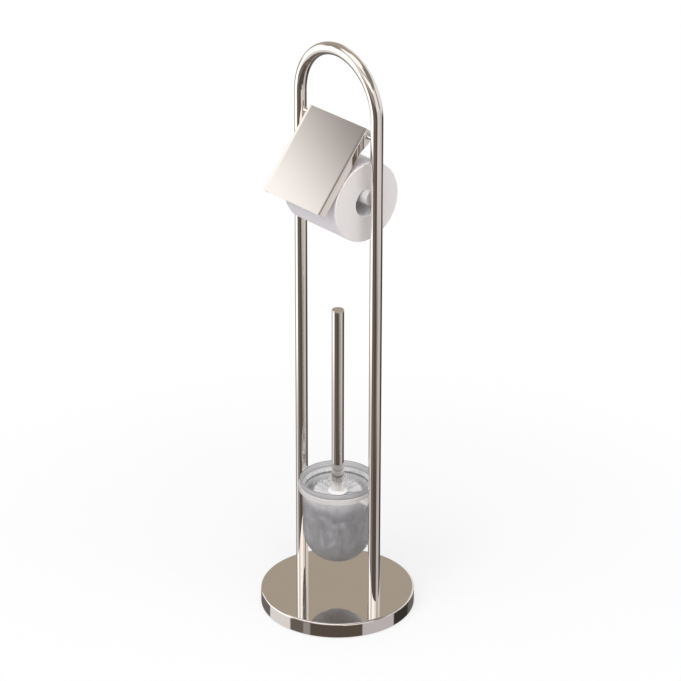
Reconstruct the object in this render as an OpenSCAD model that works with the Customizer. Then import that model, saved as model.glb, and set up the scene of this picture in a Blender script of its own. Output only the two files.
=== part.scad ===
// Free-standing toilet butler: a weighted round base, a bent tube frame,
// a paper roll on a sprung spindle under a hinged flap, and a brush in a glass cup.
// X runs from leg to leg, the flap faces -Y, Z is up, and the origin is
// the middle of the underside of the base. All sizes are in millimetres.

/* [Base] */
// Diameter of the base
base_d = 203.2; // [190:1:240]
// Height of the base shell
base_h = 20; // [17:0.5:30]
// Sheet thickness of the base shell
base_wall = 1.2; // [0.8:0.1:2]
// Radius of the shell's top edge
base_round = 2.4; // [0.5:0.1:4]
// Thickness of the anti-slip pad
pad_t = 3; // [2:0.5:4]
// How far the pad stands out below the shell
pad_proud = 1; // [0.5:0.1:1.5]
// Margin from the weight's edge to the pad's edge
pad_margin = 4; // [2:0.5:10]

/* [Frame] */
// Outer diameter of the bent tube
tube_d = 16; // [14:0.5:18]
// Wall of the bent tube
tube_wall = 1.2; // [1:0.1:1.5]
// Distance between the legs' centre lines
leg_spacing = 145; // [138:1:160]
// Height of the frame above the base's top
frame_h = 764.5; // [730:0.5:820]
// Length of the threaded plug in each leg
plug_l = 20; // [16:1:30]
// Nominal diameter of the leg screws
screw_d = 6; // [5:1:6]
// Length of the leg screws under the head
screw_l = 20; // [18:1:25]

/* [Cup holder] */
// Height of the ring's underside above the base's top
ring_up = 147.5; // [120:0.5:200]
// Height of the ring
ring_h = 8; // [6:0.5:12]
// Radial thickness of the ring
ring_wall = 5.1; // [4:0.1:7]
// Width of the bars that join the ring to the legs
lug_w = 10; // [8:0.5:13]
// Width of those bars where they meet the ring
lug_root_w = 17; // [14:0.5:24]
// Height of those bars
lug_h = 4; // [3:0.5:6]

/* [Cup] */
// Outer diameter of the glass body
cup_d = 92; // [86:1:96]
// Thickness of the glass
cup_wall = 3; // [2.5:0.1:4]
// Overall height of the cup
cup_h = 119.5; // [110:0.5:130]
// How far the lip stands out past the body
lip_out = 4; // [2.5:0.1:6]
// Height of the lip above its seat
lip_h = 6.7; // [5:0.1:10]
// How far the mouth is wider than the bore, each side
mouth_flare = 3.8; // [1:0.1:4.5]

/* [Brush] */
// Overall length of the brush
brush_l = 358.5; // [330:0.5:370]
// Diameter of the handle
handle_d = 16; // [14:0.5:18]
// Wall of the handle tube
handle_wall = 1; // [0.8:0.1:1.2]
// Thickness of the handle's end cap
cap_t = 1.6; // [1:0.1:3]
// Length of the plug inside the handle
handle_plug_l = 15; // [12:1:25]
// Diameter of the collar under the handle
collar_d = 16; // [14:0.1:18]
// Length of the collar
collar_l = 28; // [24:1:34]
// Diameter of the brush head
head_d = 68; // [60:1:72]
// Height of the bristles
head_l = 100.5; // [80:0.5:104]
// Diameter of the disc on top of the brush head
disc_d = 26; // [20:0.5:28]
// Thickness of that disc
disc_t = 1.5; // [1:0.1:3]
// Diameter of the plastic stem inside the head
stem_d = 12; // [10:0.1:13]
// Diameter of the sleeve that holds the bristles
sleeve_d = 16; // [15:0.1:18]
// Radius of one bristle at its root
bristle_r = 0.65; // [0.4:0.05:0.7]

/* [Flap] */
// How far the hinge rod lies below the foot of the arch
rod_drop = 24.5; // [12:0.5:50]
// Diameter of the hinge rod
rod_d = 4; // [3.5:0.1:4.5]
// Outer diameter of the sleeves at the rod's ends
rod_sleeve_d = 6; // [5.5:0.1:8]
// Width of the flap
flap_w = 109; // [104:1:118]
// Length of the flap
flap_l = 122; // [110:1:124]
// Sheet thickness of the flap
flap_t = 1; // [0.8:0.1:1.2]
// Depth of the flap's folded sides
flap_side = 9.7; // [8:0.1:14]
// Length of flap above the hinge rod
flap_over = 7.5; // [7:0.1:9]
// Distance from the flap's face back to the hinge rod
flap_ahead = 6.3; // [5.8:0.1:8]
// Radius of the flap's ears round the rod
ear_r = 7.5; // [7:0.1:9]
// How far the ears' lower curve lies below the rod
ear_drop = 4.5; // [3:0.1:6]
// How far the ears' lower curve lies behind the rod
ear_set = 1.2; // [0.5:0.1:2]
// Radius of the flap's free corners
flap_corner = 1.2; // [1:0.1:4]
// Radius of the flap's folds
fold_r = 1.4; // [1.4:0.1:2.5]

/* [Paper roll] */
// How far the spindle lies below the hinge rod
spindle_drop = 80; // [74:0.5:92]
// Diameter of the spindle
spindle_d = 20; // [17:0.5:24]
// Wall of the spindle halves
spindle_wall = 1.5; // [1.2:0.1:2]
// Length of the spindle's outer half
spindle_outer_l = 94; // [85:1:104]
// Overlap of the two spindle halves
spindle_lap = 35; // [25:1:45]
// Diameter of the spindle's end pins
pin_d = 6; // [5:0.5:7]
// How far the end pins reach into the legs' bore
pin_reach = 1.8; // [1:0.1:3]
// Thickness of the spindle's ends
spindle_end_t = 3; // [2:0.5:5]
// Wire diameter of the spindle's spring
wire_d = 1.2; // [0.8:0.1:1.4]
// Diameter of the paper roll
roll_d = 104; // [95:1:112]
// Width of the paper roll
roll_w = 99.5; // [92:0.5:104]
// Bore of the cardboard core
core_d = 37.5; // [34:0.5:44]
// Wall of the cardboard core
core_wall = 0.9; // [0.6:0.1:1.5]
// Radius of the roll's soft edges
roll_round = 2; // [1:0.5:4]
// How far the roll's end stands past the flap's side
roll_past_flap = 0.4; // [0.2:0.1:1]

/* [Hidden] */
$fn = 96;

cut = 1;           // how far a cutting shape runs past what it cuts

// Clearances
fit = 0.02;        // radial, for pieces fixed inside one another
run = 0.05;        // radial, for pieces that turn or slide on one another
rest_gap = 0.3;    // between pieces of different bodies that lie on each other
cup_gap = 0.4;     // radial, between the glass body and the ring
weight_gap = 0.3;  // between the weight's edge and the shell

// Base
base_r = base_d / 2;
base_top = pad_proud + base_h;
weight_r = base_r - base_wall - weight_gap;
pad_r = weight_r - pad_margin;
screw_r = screw_d / 2;
screw_play = 0.3;
screw_hole_r = screw_r + screw_play;
washer_r = screw_r * 2;
washer_t = 1.6;
screw_head_over = 2;
screw_head_r = screw_r + screw_head_over;
screw_head_h = screw_d;
socket_r = 2.9;
socket_h = 3.5;
head_room = 0.5;
well_r = washer_r + head_room;
well_top = pad_t + head_room + screw_head_h + washer_t;

// Frame
tube_r = tube_d / 2;
bore_r = tube_r - tube_wall;
leg_x = leg_spacing / 2;
arch_z = base_top + frame_h - tube_r - leg_x;
inner_x = leg_x - tube_r;
sides = [-1, 1];

// Cup and its ring
ring_z = base_top + ring_up;
ring_top = ring_z + ring_h;
cup_r = cup_d / 2;
cup_bore = cup_r - cup_wall;
ring_in = cup_r + cup_gap;
ring_out = ring_in + ring_wall;
ring_chamfer = 0.6;
lip_seat = ring_top + rest_gap;
lip_top = lip_seat + lip_h;
lip_r = cup_r + lip_out;
mouth_r = cup_bore + mouth_flare;
lip_round = (lip_r - mouth_r) / 2;
throat_rise = 1.5;
throat_in = 0.5;
wide_share = 0.55;
cup_bottom = lip_top - cup_h;
cup_ball_z = cup_bottom + cup_r;

// Brush
brush_z = cup_bottom + cup_wall + rest_gap;
brush_top = brush_z + brush_l;
head_r = head_d / 2;
head_ball_z = brush_z + head_r;
head_top = brush_z + head_l;
sleeve_r = sleeve_d / 2;
stem_r = stem_d / 2;
sleeve_drop = 4;
sleeve_top = head_top - sleeve_drop;
collar_z = sleeve_top + disc_t;
collar_top = collar_z + collar_l;
stem_seat = 10;
stem_top = collar_top - stem_seat;
stud_r = 3;
stud_in = 11;
handle_r = handle_d / 2;
handle_bore = handle_r - handle_wall;
cap_plug_l = 8;
cap_round = 0.5;

// Flap and its hinge
rod_z = arch_z - rod_drop;
rod_r = rod_d / 2;
rod_reach = 3;
bush_wall = 1.2;
bush_r = rod_r + run + bush_wall;
bush_rim = 1.2;
bush_rim_t = 0.8;
flap_x = flap_w / 2;
roll_r = roll_d / 2;
spindle_z = rod_z - spindle_drop;
spindle_r = spindle_d / 2;
core_r = core_d / 2;
roll_z = spindle_z + spindle_r + rest_gap - core_r;
roll_x = flap_x + roll_past_flap - roll_w / 2;
flap_reach = roll_r + rest_gap + flap_side - flap_ahead;
flap_lean = asin(flap_reach / (rod_z - roll_z));
ear_inset = 0.4;
ear_turn = 20;
ear_tail = 30;

// Spindle
end_x = inner_x - rest_gap;
pin_r = pin_d / 2;
pin_l = rest_gap + tube_wall + pin_reach;
outer_bore = spindle_r - spindle_wall;
inner_r = outer_bore - run;
inner_bore = inner_r - spindle_wall;
outer_mouth = end_x - spindle_outer_l;
inner_tip = outer_mouth + spindle_lap;
spring_from = inner_tip;
spring_to = end_x - spindle_end_t;
spring_turns = 12;
spring_r = inner_r - wire_d;
spring_l = spring_to - spring_from - wire_d;

// Shapes that repeat

// A washer or tube: outer radius, inner radius, from one height to another
module tube(outer, inner, low, high) {
    translate([0, 0, low]) difference() {
        cylinder(r = outer, h = high - low);
        translate([0, 0, -cut]) cylinder(r = inner, h = high - low + 2 * cut);
    }
}

// A solid bar along X between two places
module bar_x(r, from, to) {
    translate([from, 0, 0]) rotate([0, 90, 0]) cylinder(r = r, h = to - from);
}

// A tube along X between two places
module tube_x(outer, inner, from, to) {
    translate([from, 0, 0]) rotate([0, 90, 0]) tube(outer, inner, 0, to - from);
}

// A rectangle from the axis out to x, with its outer top corner rounded
module round_disc_2d(x, low, high, r) {
    translate([0, low]) square([x - r, high - low]);
    translate([0, low]) square([x, high - low - r]);
    translate([x - r, high - r]) circle(r = r);
}

// A rectangle with round corners, centred on x
module round_rect_2d(w, low, high, r) {
    translate([-w / 2 + r, low]) square([w - 2 * r, high - low]);
    translate([-w / 2, low + r]) square([w, high - low - 2 * r]);
    for (x = [-w / 2 + r, w / 2 - r], y = [low + r, high - r])
        translate([x, y]) circle(r = r);
}

// Base

module base_cover() {
    color([0.80, 0.75, 0.70]) difference() {
        rotate_extrude() difference() {
            round_disc_2d(base_r, pad_proud, base_top, base_round);
            round_disc_2d(base_r - base_wall, pad_proud - cut, base_top - base_wall, base_round);
        }
        for (s = sides) translate([s * leg_x, 0, 0])
            cylinder(r = screw_hole_r, h = base_top + cut);
    }
}

module base_weight() {
    color([0.30, 0.30, 0.31]) difference() {
        rotate_extrude() round_disc_2d(weight_r, pad_t, base_top - base_wall, base_round);
        for (s = sides) translate([s * leg_x, 0, 0]) {
            cylinder(r = screw_hole_r, h = base_top);
            translate([0, 0, pad_t - cut]) cylinder(r = well_r, h = well_top - pad_t + cut);
        }
    }
}

module base_pad() {
    color([0.15, 0.15, 0.15]) cylinder(r = pad_r, h = pad_t);
}

// Frame

module leg_plug(side) {
    color([0.55, 0.55, 0.56]) translate([side * leg_x, 0, 0])
        tube(bore_r - fit, screw_r + fit, base_top, base_top + plug_l);
}

module leg_washer(side) {
    color([0.70, 0.70, 0.70]) translate([side * leg_x, 0, 0])
        tube(washer_r, screw_hole_r, well_top - washer_t, well_top);
}

// Socket head screw, pointing up from its well in the weight
module leg_screw(side) {
    under_head = well_top - washer_t;
    color([0.45, 0.45, 0.46]) translate([side * leg_x, 0, under_head - screw_head_h])
    difference() {
        union() {
            cylinder(r = screw_head_r, h = screw_head_h);
            cylinder(r = screw_r, h = screw_head_h + screw_l);
        }
        translate([0, 0, -cut]) cylinder(r = socket_r, h = socket_h + cut, $fn = 6);
    }
}

module frame_shape(r) {
    for (s = sides) translate([s * leg_x, 0, base_top])
        cylinder(r = r, h = arch_z - base_top);
    translate([0, 0, arch_z]) rotate([90, 0, 0])
        rotate_extrude(angle = 180) translate([leg_x, 0]) circle(r = r);
}

// The bent tube, with holes in the legs' inner walls for the rod and the spindle
module frame_tube() {
    color([0.80, 0.75, 0.70]) difference() {
        frame_shape(tube_r);
        frame_shape(bore_r);
        translate([0, 0, rod_z]) bar_x(rod_r + fit, -leg_x, leg_x);
        translate([0, 0, spindle_z]) bar_x(pin_r + run, -leg_x, leg_x);
    }
}

module ring_2d() {
    c = ring_chamfer;
    polygon([[ring_in, c], [ring_in + c, 0], [ring_out - c, 0], [ring_out, c],
             [ring_out, ring_h - c], [ring_out - c, ring_h],
             [ring_in + c, ring_h], [ring_in, ring_h - c]]);
}

// The ring that carries the cup, with a bar to each leg
module holder_ring() {
    mid = ring_in + ring_wall / 2;
    neck = ring_out + (inner_x - ring_out) / 2;
    color([0.88, 0.84, 0.82]) translate([0, 0, ring_z]) difference() {
        union() {
            rotate_extrude() ring_2d();
            for (s = sides) linear_extrude(height = lug_h)
                polygon([[s * mid, -lug_root_w / 2], [s * neck, -lug_w / 2],
                         [s * leg_x, -lug_w / 2], [s * leg_x, lug_w / 2],
                         [s * neck, lug_w / 2], [s * mid, lug_root_w / 2]]);
        }
        for (s = sides) translate([s * leg_x, 0, -cut])
            cylinder(r = tube_r + fit, h = ring_h + 2 * cut);
    }
}

// Hinge

module hinge_rod() {
    color([0.80, 0.75, 0.70]) translate([0, 0, rod_z])
        bar_x(rod_r, -inner_x - rod_reach, inner_x + rod_reach);
}

// Spacer between the leg and the flap's bush
module rod_sleeve(side) {
    from = flap_x + bush_rim_t + run;
    color([0.80, 0.75, 0.70]) translate([0, 0, rod_z]) mirror([side < 0 ? 1 : 0, 0, 0])
        tube_x(rod_sleeve_d / 2, rod_r + fit, from, inner_x - run);
}

// Nylon bush in the flap's ear, with its rim outside
module hinge_bush(side) {
    color([0.90, 0.90, 0.88]) translate([0, 0, rod_z]) mirror([side < 0 ? 1 : 0, 0, 0]) {
        tube_x(bush_r, rod_r + run, flap_x - flap_t, flap_x + bush_rim_t);
        tube_x(bush_r + bush_rim, rod_r + run, flap_x, flap_x + bush_rim_t);
    }
}

// The flap is drawn hanging straight down, its face at -y and the rod's centre at the origin

// A piece of one folded side, drawn with y towards the back and z up
module side_plate() {
    translate([flap_x - flap_t, 0, 0]) rotate([90, 0, 90])
        linear_extrude(height = flap_t) children();
}

// The ear that hangs on the rod, down to where it meets the folded side
module flap_ear() {
    inside = ear_r - ear_inset;
    back = flap_side - flap_ahead;
    intersection() {
        union() {
            side_plate() circle(r = ear_r);
            side_plate() translate([ear_set, -ear_drop]) circle(r = ear_r);
            side_plate() polygon([
                [ear_set, -ear_drop],
                [ear_set + inside * cos(ear_turn), -ear_drop - inside * sin(ear_turn)],
                [back / 2, -ear_tail], [0, -ear_tail]]);
        }
        translate([0, fold_r - flap_ahead, -ear_tail]) cube([flap_w, ear_tail, 2 * ear_tail]);
    }
}

// Cross-section of the face and its two folded sides
module flap_section_2d() {
    flat = flap_w - 2 * fold_r;
    translate([-flat / 2, -flap_ahead]) square([flat, flap_t]);
    for (s = sides) mirror([s < 0 ? 1 : 0, 0]) translate([flap_x, fold_r - flap_ahead]) {
        translate([-flap_t, 0]) square([flap_t, flap_side - fold_r]);
        translate([-fold_r, 0]) intersection() {
            difference() {
                circle(r = fold_r);
                circle(r = fold_r - flap_t);
            }
            translate([0, -fold_r]) square(fold_r);
        }
    }
}

// What rounds a corner of radius r that points to +x and -z, through a piece along y
module corner_cut(r, depth) {
    over = 1;
    difference() {
        translate([-r, -depth, -over]) cube([r + over, 2 * depth, r + over]);
        translate([-r, 0, r]) rotate([90, 0, 0]) cylinder(r = r, h = 4 * depth, center = true);
    }
}

module paper_flap() {
    low = flap_over - flap_l;
    back = flap_side - flap_ahead;
    color([0.84, 0.80, 0.76]) translate([0, 0, rod_z]) rotate([-flap_lean, 0, 0])
    difference() {
        union() {
            translate([0, 0, low]) linear_extrude(height = flap_l) flap_section_2d();
            flap_ear();
            mirror([1, 0, 0]) flap_ear();
        }
        bar_x(bush_r, -flap_w, flap_w);
        for (s = [0, 1]) mirror([s, 0, 0]) translate([flap_x, 0, low])
            corner_cut(flap_corner, flap_w);
        translate([0, back, low]) rotate([0, 0, 90]) corner_cut(flap_corner, flap_w);
    }
}

// Spindle

module spindle_outer() {
    color([0.88, 0.88, 0.87]) translate([0, 0, spindle_z]) {
        tube_x(spindle_r, outer_bore, outer_mouth, end_x - spindle_end_t);
        bar_x(spindle_r, end_x - spindle_end_t, end_x);
        bar_x(pin_r, end_x, end_x + pin_l);
    }
}

module spindle_inner() {
    color([0.86, 0.86, 0.85]) translate([0, 0, spindle_z]) {
        bar_x(pin_r, -end_x - pin_l, -end_x);
        bar_x(spindle_r, -end_x, -end_x + spindle_end_t);
        tube_x(inner_r, inner_bore, -end_x + spindle_end_t, inner_tip - spindle_end_t);
        bar_x(inner_r, inner_tip - spindle_end_t, inner_tip);
    }
}

// Points of a ring of wire round the coil's centre line at turn t
ring_sides = 6;
rings_per_turn = 8;
function coil_at(t) = [spring_from + wire_d / 2 + spring_l * t / spring_turns,
                       spring_r * cos(360 * t), spring_r * sin(360 * t)];
function wire_ring(t) = [for (k = [0 : ring_sides - 1])
    let (a = 360 * k / ring_sides, out = [0, cos(360 * t), sin(360 * t)])
    coil_at(t) + wire_d / 2 * (cos(a) * out + sin(a) * [1, 0, 0])];

// One unbroken coil between the ends of the two halves
module spindle_spring() {
    count = spring_turns * rings_per_turn;
    n = ring_sides;
    points = [for (i = [0 : count]) each wire_ring(i / rings_per_turn)];
    walls = [for (i = [0 : count - 1], k = [0 : n - 1])
        let (a = i * n + k, b = i * n + (k + 1) % n)
        each [[a, b, b + n], [a, b + n, a + n]]];
    first = [for (k = [1 : n - 2]) [0, k + 1, k]];
    last = [for (k = [1 : n - 2]) [count * n, count * n + k, count * n + k + 1]];
    echo(least_gap_in_spring = spring_l / spring_turns - wire_d);
    color([0.6, 0.6, 0.62]) translate([0, 0, spindle_z])
        polyhedron(points = points, faces = concat(walls, first, last));
}

// Paper

module roll_core() {
    color([0.72, 0.62, 0.50]) translate([0, 0, roll_z])
        tube_x(core_r + core_wall, core_r, roll_x - roll_w / 2, roll_x + roll_w / 2);
}

module paper_roll() {
    color([0.95, 0.94, 0.93]) translate([roll_x, 0, roll_z]) rotate([0, 90, 0])
    difference() {
        rotate_extrude() intersection() {
            round_rect_2d(roll_d, -roll_w / 2, roll_w / 2, roll_round);
            translate([0, -roll_w]) square([roll_d, 2 * roll_w]);
        }
        translate([0, 0, -roll_w / 2 - cut]) cylinder(r = core_r + core_wall, h = roll_w + 2 * cut);
    }
}

// Cup

// Half of a capsule standing on its round end, from its ball's centre up to a height
module capsule_2d(r, ball_z, high) {
    intersection() {
        translate([0, ball_z]) circle(r = r);
        translate([0, ball_z - r]) square([r, 2 * r]);
    }
    translate([0, ball_z]) square([r, high - ball_z]);
}

module glass_cup() {
    step_z = ring_z + throat_rise;
    throat_r = (cup_r + cup_bore) / 2 - throat_in;
    wide_z = lip_seat + lip_h * wide_share;
    color([0.80, 0.82, 0.83, 0.6]) rotate_extrude() difference() {
        union() {
            capsule_2d(cup_r, cup_ball_z, lip_top - lip_round);
            translate([0, lip_seat]) square([lip_r, lip_h - lip_round]);
            translate([lip_r - lip_round, lip_top - lip_round]) circle(r = lip_round);
        }
        capsule_2d(cup_bore, cup_ball_z, lip_top + cut);
        polygon([[0, step_z], [cup_bore, step_z], [throat_r, lip_seat], [mouth_r, wide_z],
                 [mouth_r, lip_top - lip_round], [0, lip_top - lip_round]]);
    }
}

// Brush

module handle_tube() {
    color([0.80, 0.75, 0.70]) tube(handle_r, handle_bore, collar_top, brush_top - cap_t);
}

module handle_cap() {
    color([0.80, 0.75, 0.70]) {
        rotate_extrude() round_disc_2d(handle_r, brush_top - cap_t, brush_top, cap_round);
        translate([0, 0, brush_top - cap_t - cap_plug_l])
            cylinder(r = handle_bore - fit, h = cap_plug_l);
    }
}

module handle_plug() {
    color([0.55, 0.55, 0.56])
        tube(handle_bore - fit, stud_r + fit, collar_top, collar_top + handle_plug_l);
}

module head_stud() {
    color([0.45, 0.45, 0.46]) translate([0, 0, stem_top - stud_in])
        cylinder(r = stud_r, h = stem_seat + 2 * stud_in);
}

module head_collar() {
    color([0.78, 0.74, 0.70]) {
        tube(collar_d / 2, stem_r + fit, collar_z, stem_top);
        tube(collar_d / 2, stud_r + fit, stem_top, collar_top);
    }
}

// The stem, with the disc that covers the roots of the top bristles
module head_stem() {
    color([0.92, 0.92, 0.92]) difference() {
        union() {
            translate([0, 0, head_ball_z]) cylinder(r = stem_r, h = stem_top - head_ball_z);
            translate([0, 0, sleeve_top]) cylinder(r = disc_d / 2, h = disc_t);
        }
        translate([0, 0, stem_top - stud_in]) cylinder(r = stud_r + fit, h = 2 * stud_in);
    }
}

// Bristles in rows: each row is [height of its hub on the axis, climb in degrees, reach, count].
// Side rows stand level, top rows climb, and the rows at the round end meet in its centre.
side_rows = 10;
side_around = 30;
side_first = 2;
top_rows = 3;
top_around = 24;
top_shrink = 0.5;
top_zone = 9.5;
top_step = 2.2;
top_climb = 5;
ball_rows = 4;
ball_turn = 20;
ball_around = 28;
tip_share = 0.7;
side_step = (sleeve_top - top_zone - head_ball_z - side_first) / (side_rows - 1);
side_list = [for (i = [0 : side_rows - 1])
    [head_ball_z + side_first + side_step * i, 0, head_r, side_around]];
top_list = [for (i = [1 : top_rows])
    [sleeve_top - top_zone + top_step * i - sleeve_r * tan(top_climb * i),
     top_climb * i, head_r - top_shrink * i * i, top_around]];
ball_list = [for (i = [1 : ball_rows])
    [head_ball_z, -ball_turn * i, head_r, round(ball_around * cos(ball_turn * i))]];
rows = concat(side_list, top_list, ball_list);

// The root and tip triangles of one bristle: row, then number in the row
function bristle(row, k, turn) =
    let (a = 360 * (k + turn) / row[3],
         e = row[1],
         along = [cos(a) * cos(e), sin(a) * cos(e), sin(e)],
         across = [-sin(a), cos(a), 0],
         up = cross(along, across),
         sink = 1,
         centre = [0, 0, row[0]])
    [for (end = [[sleeve_r - sink, bristle_r], [row[2], bristle_r * tip_share]], j = [0 : 2])
        centre + end[0] * along
        + end[1] * (cos(120 * j) * across + sin(120 * j) * up)];

module bristles() {
    hairs = [for (i = [0 : len(rows) - 1], k = [0 : rows[i][3] - 1])
        bristle(rows[i], k, (i % 2) / 2)];
    faces = [for (h = [0 : len(hairs) - 1], f = [[0, 1, 2], [3, 5, 4],
        [0, 3, 4], [0, 4, 1], [1, 4, 5], [1, 5, 2], [2, 5, 3], [2, 3, 0]])
        f + [6 * h, 6 * h, 6 * h]];
    echo(bristle_count = len(hairs));
    color([0.97, 0.97, 0.97]) {
        polyhedron(points = [for (h = hairs) each h], faces = faces);
        rotate_extrude() difference() {
            capsule_2d(sleeve_r, head_ball_z, sleeve_top);
            translate([0, head_ball_z]) square([stem_r + fit, head_l]);
        }
    }
}

base_cover();
base_weight();
base_pad();
frame_tube();
leg_plug(-1);  // leg_plug_left
leg_plug(1);  // leg_plug_right
leg_screw(-1);  // leg_screw_left
leg_screw(1);  // leg_screw_right
leg_washer(-1);  // leg_washer_left
leg_washer(1);  // leg_washer_right
holder_ring();
hinge_rod();
rod_sleeve(-1);  // rod_sleeve_left
rod_sleeve(1);  // rod_sleeve_right
hinge_bush(-1);  // hinge_bush_left
hinge_bush(1);  // hinge_bush_right
paper_flap();
spindle_outer();
spindle_inner();
spindle_spring();
roll_core();
paper_roll();
glass_cup();
handle_tube();
handle_cap();
handle_plug();
head_stud();
head_collar();
head_stem();
bristles();
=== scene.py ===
"""Dresses the packed toilet butler: frame, flap over a paper roll, and a brush in a frosted cup."""

import math

import bmesh
import bpy
import numpy as np
from bpy.props import FloatProperty, FloatVectorProperty, IntProperty, PointerProperty
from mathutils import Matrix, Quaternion, Vector


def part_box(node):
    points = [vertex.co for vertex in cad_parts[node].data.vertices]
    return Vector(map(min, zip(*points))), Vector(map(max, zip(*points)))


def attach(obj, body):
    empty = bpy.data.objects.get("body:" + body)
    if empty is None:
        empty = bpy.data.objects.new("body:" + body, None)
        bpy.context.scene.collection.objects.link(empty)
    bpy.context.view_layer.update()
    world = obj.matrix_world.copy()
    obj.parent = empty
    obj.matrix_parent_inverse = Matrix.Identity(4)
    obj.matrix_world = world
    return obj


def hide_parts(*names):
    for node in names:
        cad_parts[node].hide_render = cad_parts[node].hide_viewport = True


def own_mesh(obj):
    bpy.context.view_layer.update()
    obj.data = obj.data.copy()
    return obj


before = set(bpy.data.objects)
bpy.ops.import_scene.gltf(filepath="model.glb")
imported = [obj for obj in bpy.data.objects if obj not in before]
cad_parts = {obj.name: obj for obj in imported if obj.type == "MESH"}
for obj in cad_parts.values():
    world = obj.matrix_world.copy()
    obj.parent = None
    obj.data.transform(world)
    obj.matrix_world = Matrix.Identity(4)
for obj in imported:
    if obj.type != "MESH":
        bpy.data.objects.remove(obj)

bl_info = {
    "name": "Toilet Butler",
    "version": (1, 0, 0),
    "blender": (4, 5, 0),
    "location": "3D View > Sidebar > Butler",
    "description": "Builds the pieces and the stage of a free-standing toilet butler",
    "category": "Object",
}

MM = 0.001
# Points closer together than this are one
MERGE = 0.5e-6


# Measures that come from the frame


def low(node):
    """Lowest corner of a node of the frame."""
    return np.array(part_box(node)[0])


def high(node):
    """Highest corner of a node of the frame."""
    return np.array(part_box(node)[1])


def span(node):
    """Extent of a node of the frame along each axis."""
    return high(node) - low(node)


def mid(node, axis):
    """Middle of a node of the frame along an axis, 0 to 2."""
    return (high(node)[axis] + low(node)[axis]) / 2


TUBE_RADIUS = span("frame_tube")[1] / 2
LEG_X = high("frame_tube")[0] - TUBE_RADIUS
ARCH_Z = high("frame_tube")[2] - TUBE_RADIUS - LEG_X
ROD_Z = mid("hinge_rod", 2)
SPINDLE_Z = mid("spindle_outer", 2)
ROLL_X = mid("paper_roll", 0)
ROLL_Z = mid("paper_roll", 2)
ROLL_RADIUS = span("paper_roll")[1] / 2
CUP_TOP = high("glass_cup")[2]
CUP_BOTTOM = low("glass_cup")[2]
HANDLE_RADIUS = span("handle_cap")[0] / 2
COLLAR_RADIUS = span("head_collar")[0] / 2
HEAD_RADIUS = -low("bristles")[2] + low("head_stem")[2]


# Sizes and colours that a user may change


def length(name, description, default):
    """A size in metres."""
    return FloatProperty(name=name, description=description, default=default, precision=5, unit="LENGTH")


def angle(name, description, default):
    """An angle, given in degrees and kept in radians."""
    return FloatProperty(name=name, description=description, default=math.radians(default), unit="ROTATION")


def colour(name, description, default):
    """A linear colour."""
    return FloatVectorProperty(
        name=name, description=description, default=default, subtype="COLOR", min=0.0, max=1.0
    )


def count(name, description, default):
    """A whole number of at least one."""
    return IntProperty(name=name, description=description, default=default, min=1)


class BaseSizes(bpy.types.PropertyGroup):
    """Sizes of the round base."""

    radius: length("Radius", "Radius of the shell", high("base_cover")[0])
    wall: length("Wall", "Sheet thickness of the shell", 1.2 * MM)
    edge: length("Edge", "Radius of the shell's top edge", 2.4 * MM)
    groove_pitch: length("Groove pitch", "Distance between the grooves of the pad", 6 * MM)
    groove_depth: length("Groove depth", "Depth of the grooves of the pad", 0.4 * MM)


class FrameSizes(bpy.types.PropertyGroup):
    """Sizes of the bent tube, the ring and the rod."""

    tube_radius: length("Tube radius", "Outer radius of the bent tube", TUBE_RADIUS)
    tube_wall: length("Tube wall", "Wall of the bent tube", 1.2 * MM)
    leg_offset: length("Leg offset", "Distance from the middle to a leg's centre line", LEG_X)
    ring_wall: length("Ring wall", "Radial thickness of the ring", 5.1 * MM)
    ring_edge: length("Ring edge", "Radius of the ring's edges", 0.9 * MM)
    lug_width: length("Lug width", "Width of the bars between ring and legs", 10 * MM)
    lug_root: length("Lug root", "Width of those bars at the ring", 17 * MM)
    lug_height: length("Lug height", "Height of those bars", 4 * MM)
    weld: length("Weld", "Radius of the weld between a bar and its leg", 1.2 * MM)
    pin_hole: length("Pin hole", "Radius of the holes for the spindle's pins", 3.05 * MM)
    rod_hole: length("Rod hole", "Radius of the holes for the hinge rod", 2.02 * MM)


class FlapSizes(bpy.types.PropertyGroup):
    """Sizes of the folded flap, drawn hanging from its rod."""

    width: length("Width", "Width of the flap", span("paper_flap")[0])
    height: length("Length", "Length of the flap along its face", 122 * MM)
    thickness: length("Thickness", "Sheet thickness", 1 * MM)
    side: length("Side", "Depth of the folded sides", 9.7 * MM)
    over: length("Over", "Length of flap above the rod", 7.5 * MM)
    ahead: length("Ahead", "Distance from the face back to the rod", 6.3 * MM)
    ear: length("Ear", "Radius of the ears round the rod", 7.5 * MM)
    ear_drop: length("Ear drop", "How far the ears' lower curve lies below the rod", 4.5 * MM)
    ear_set: length("Ear set", "How far the ears' lower curve lies behind the rod", 1.2 * MM)
    ear_tail: length("Ear tail", "How far below the rod the ears' slope ends", 30 * MM)
    corner: length("Corner", "Radius of the free corners", 1.2 * MM)
    fold: length("Fold", "Outer radius of the folds", 0.56 * MM)
    edge: length("Edge", "Radius of the sheet's own edges", 0.3 * MM)
    gap: length("Gap", "Distance between flap and roll at rest", 0.3 * MM)


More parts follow.
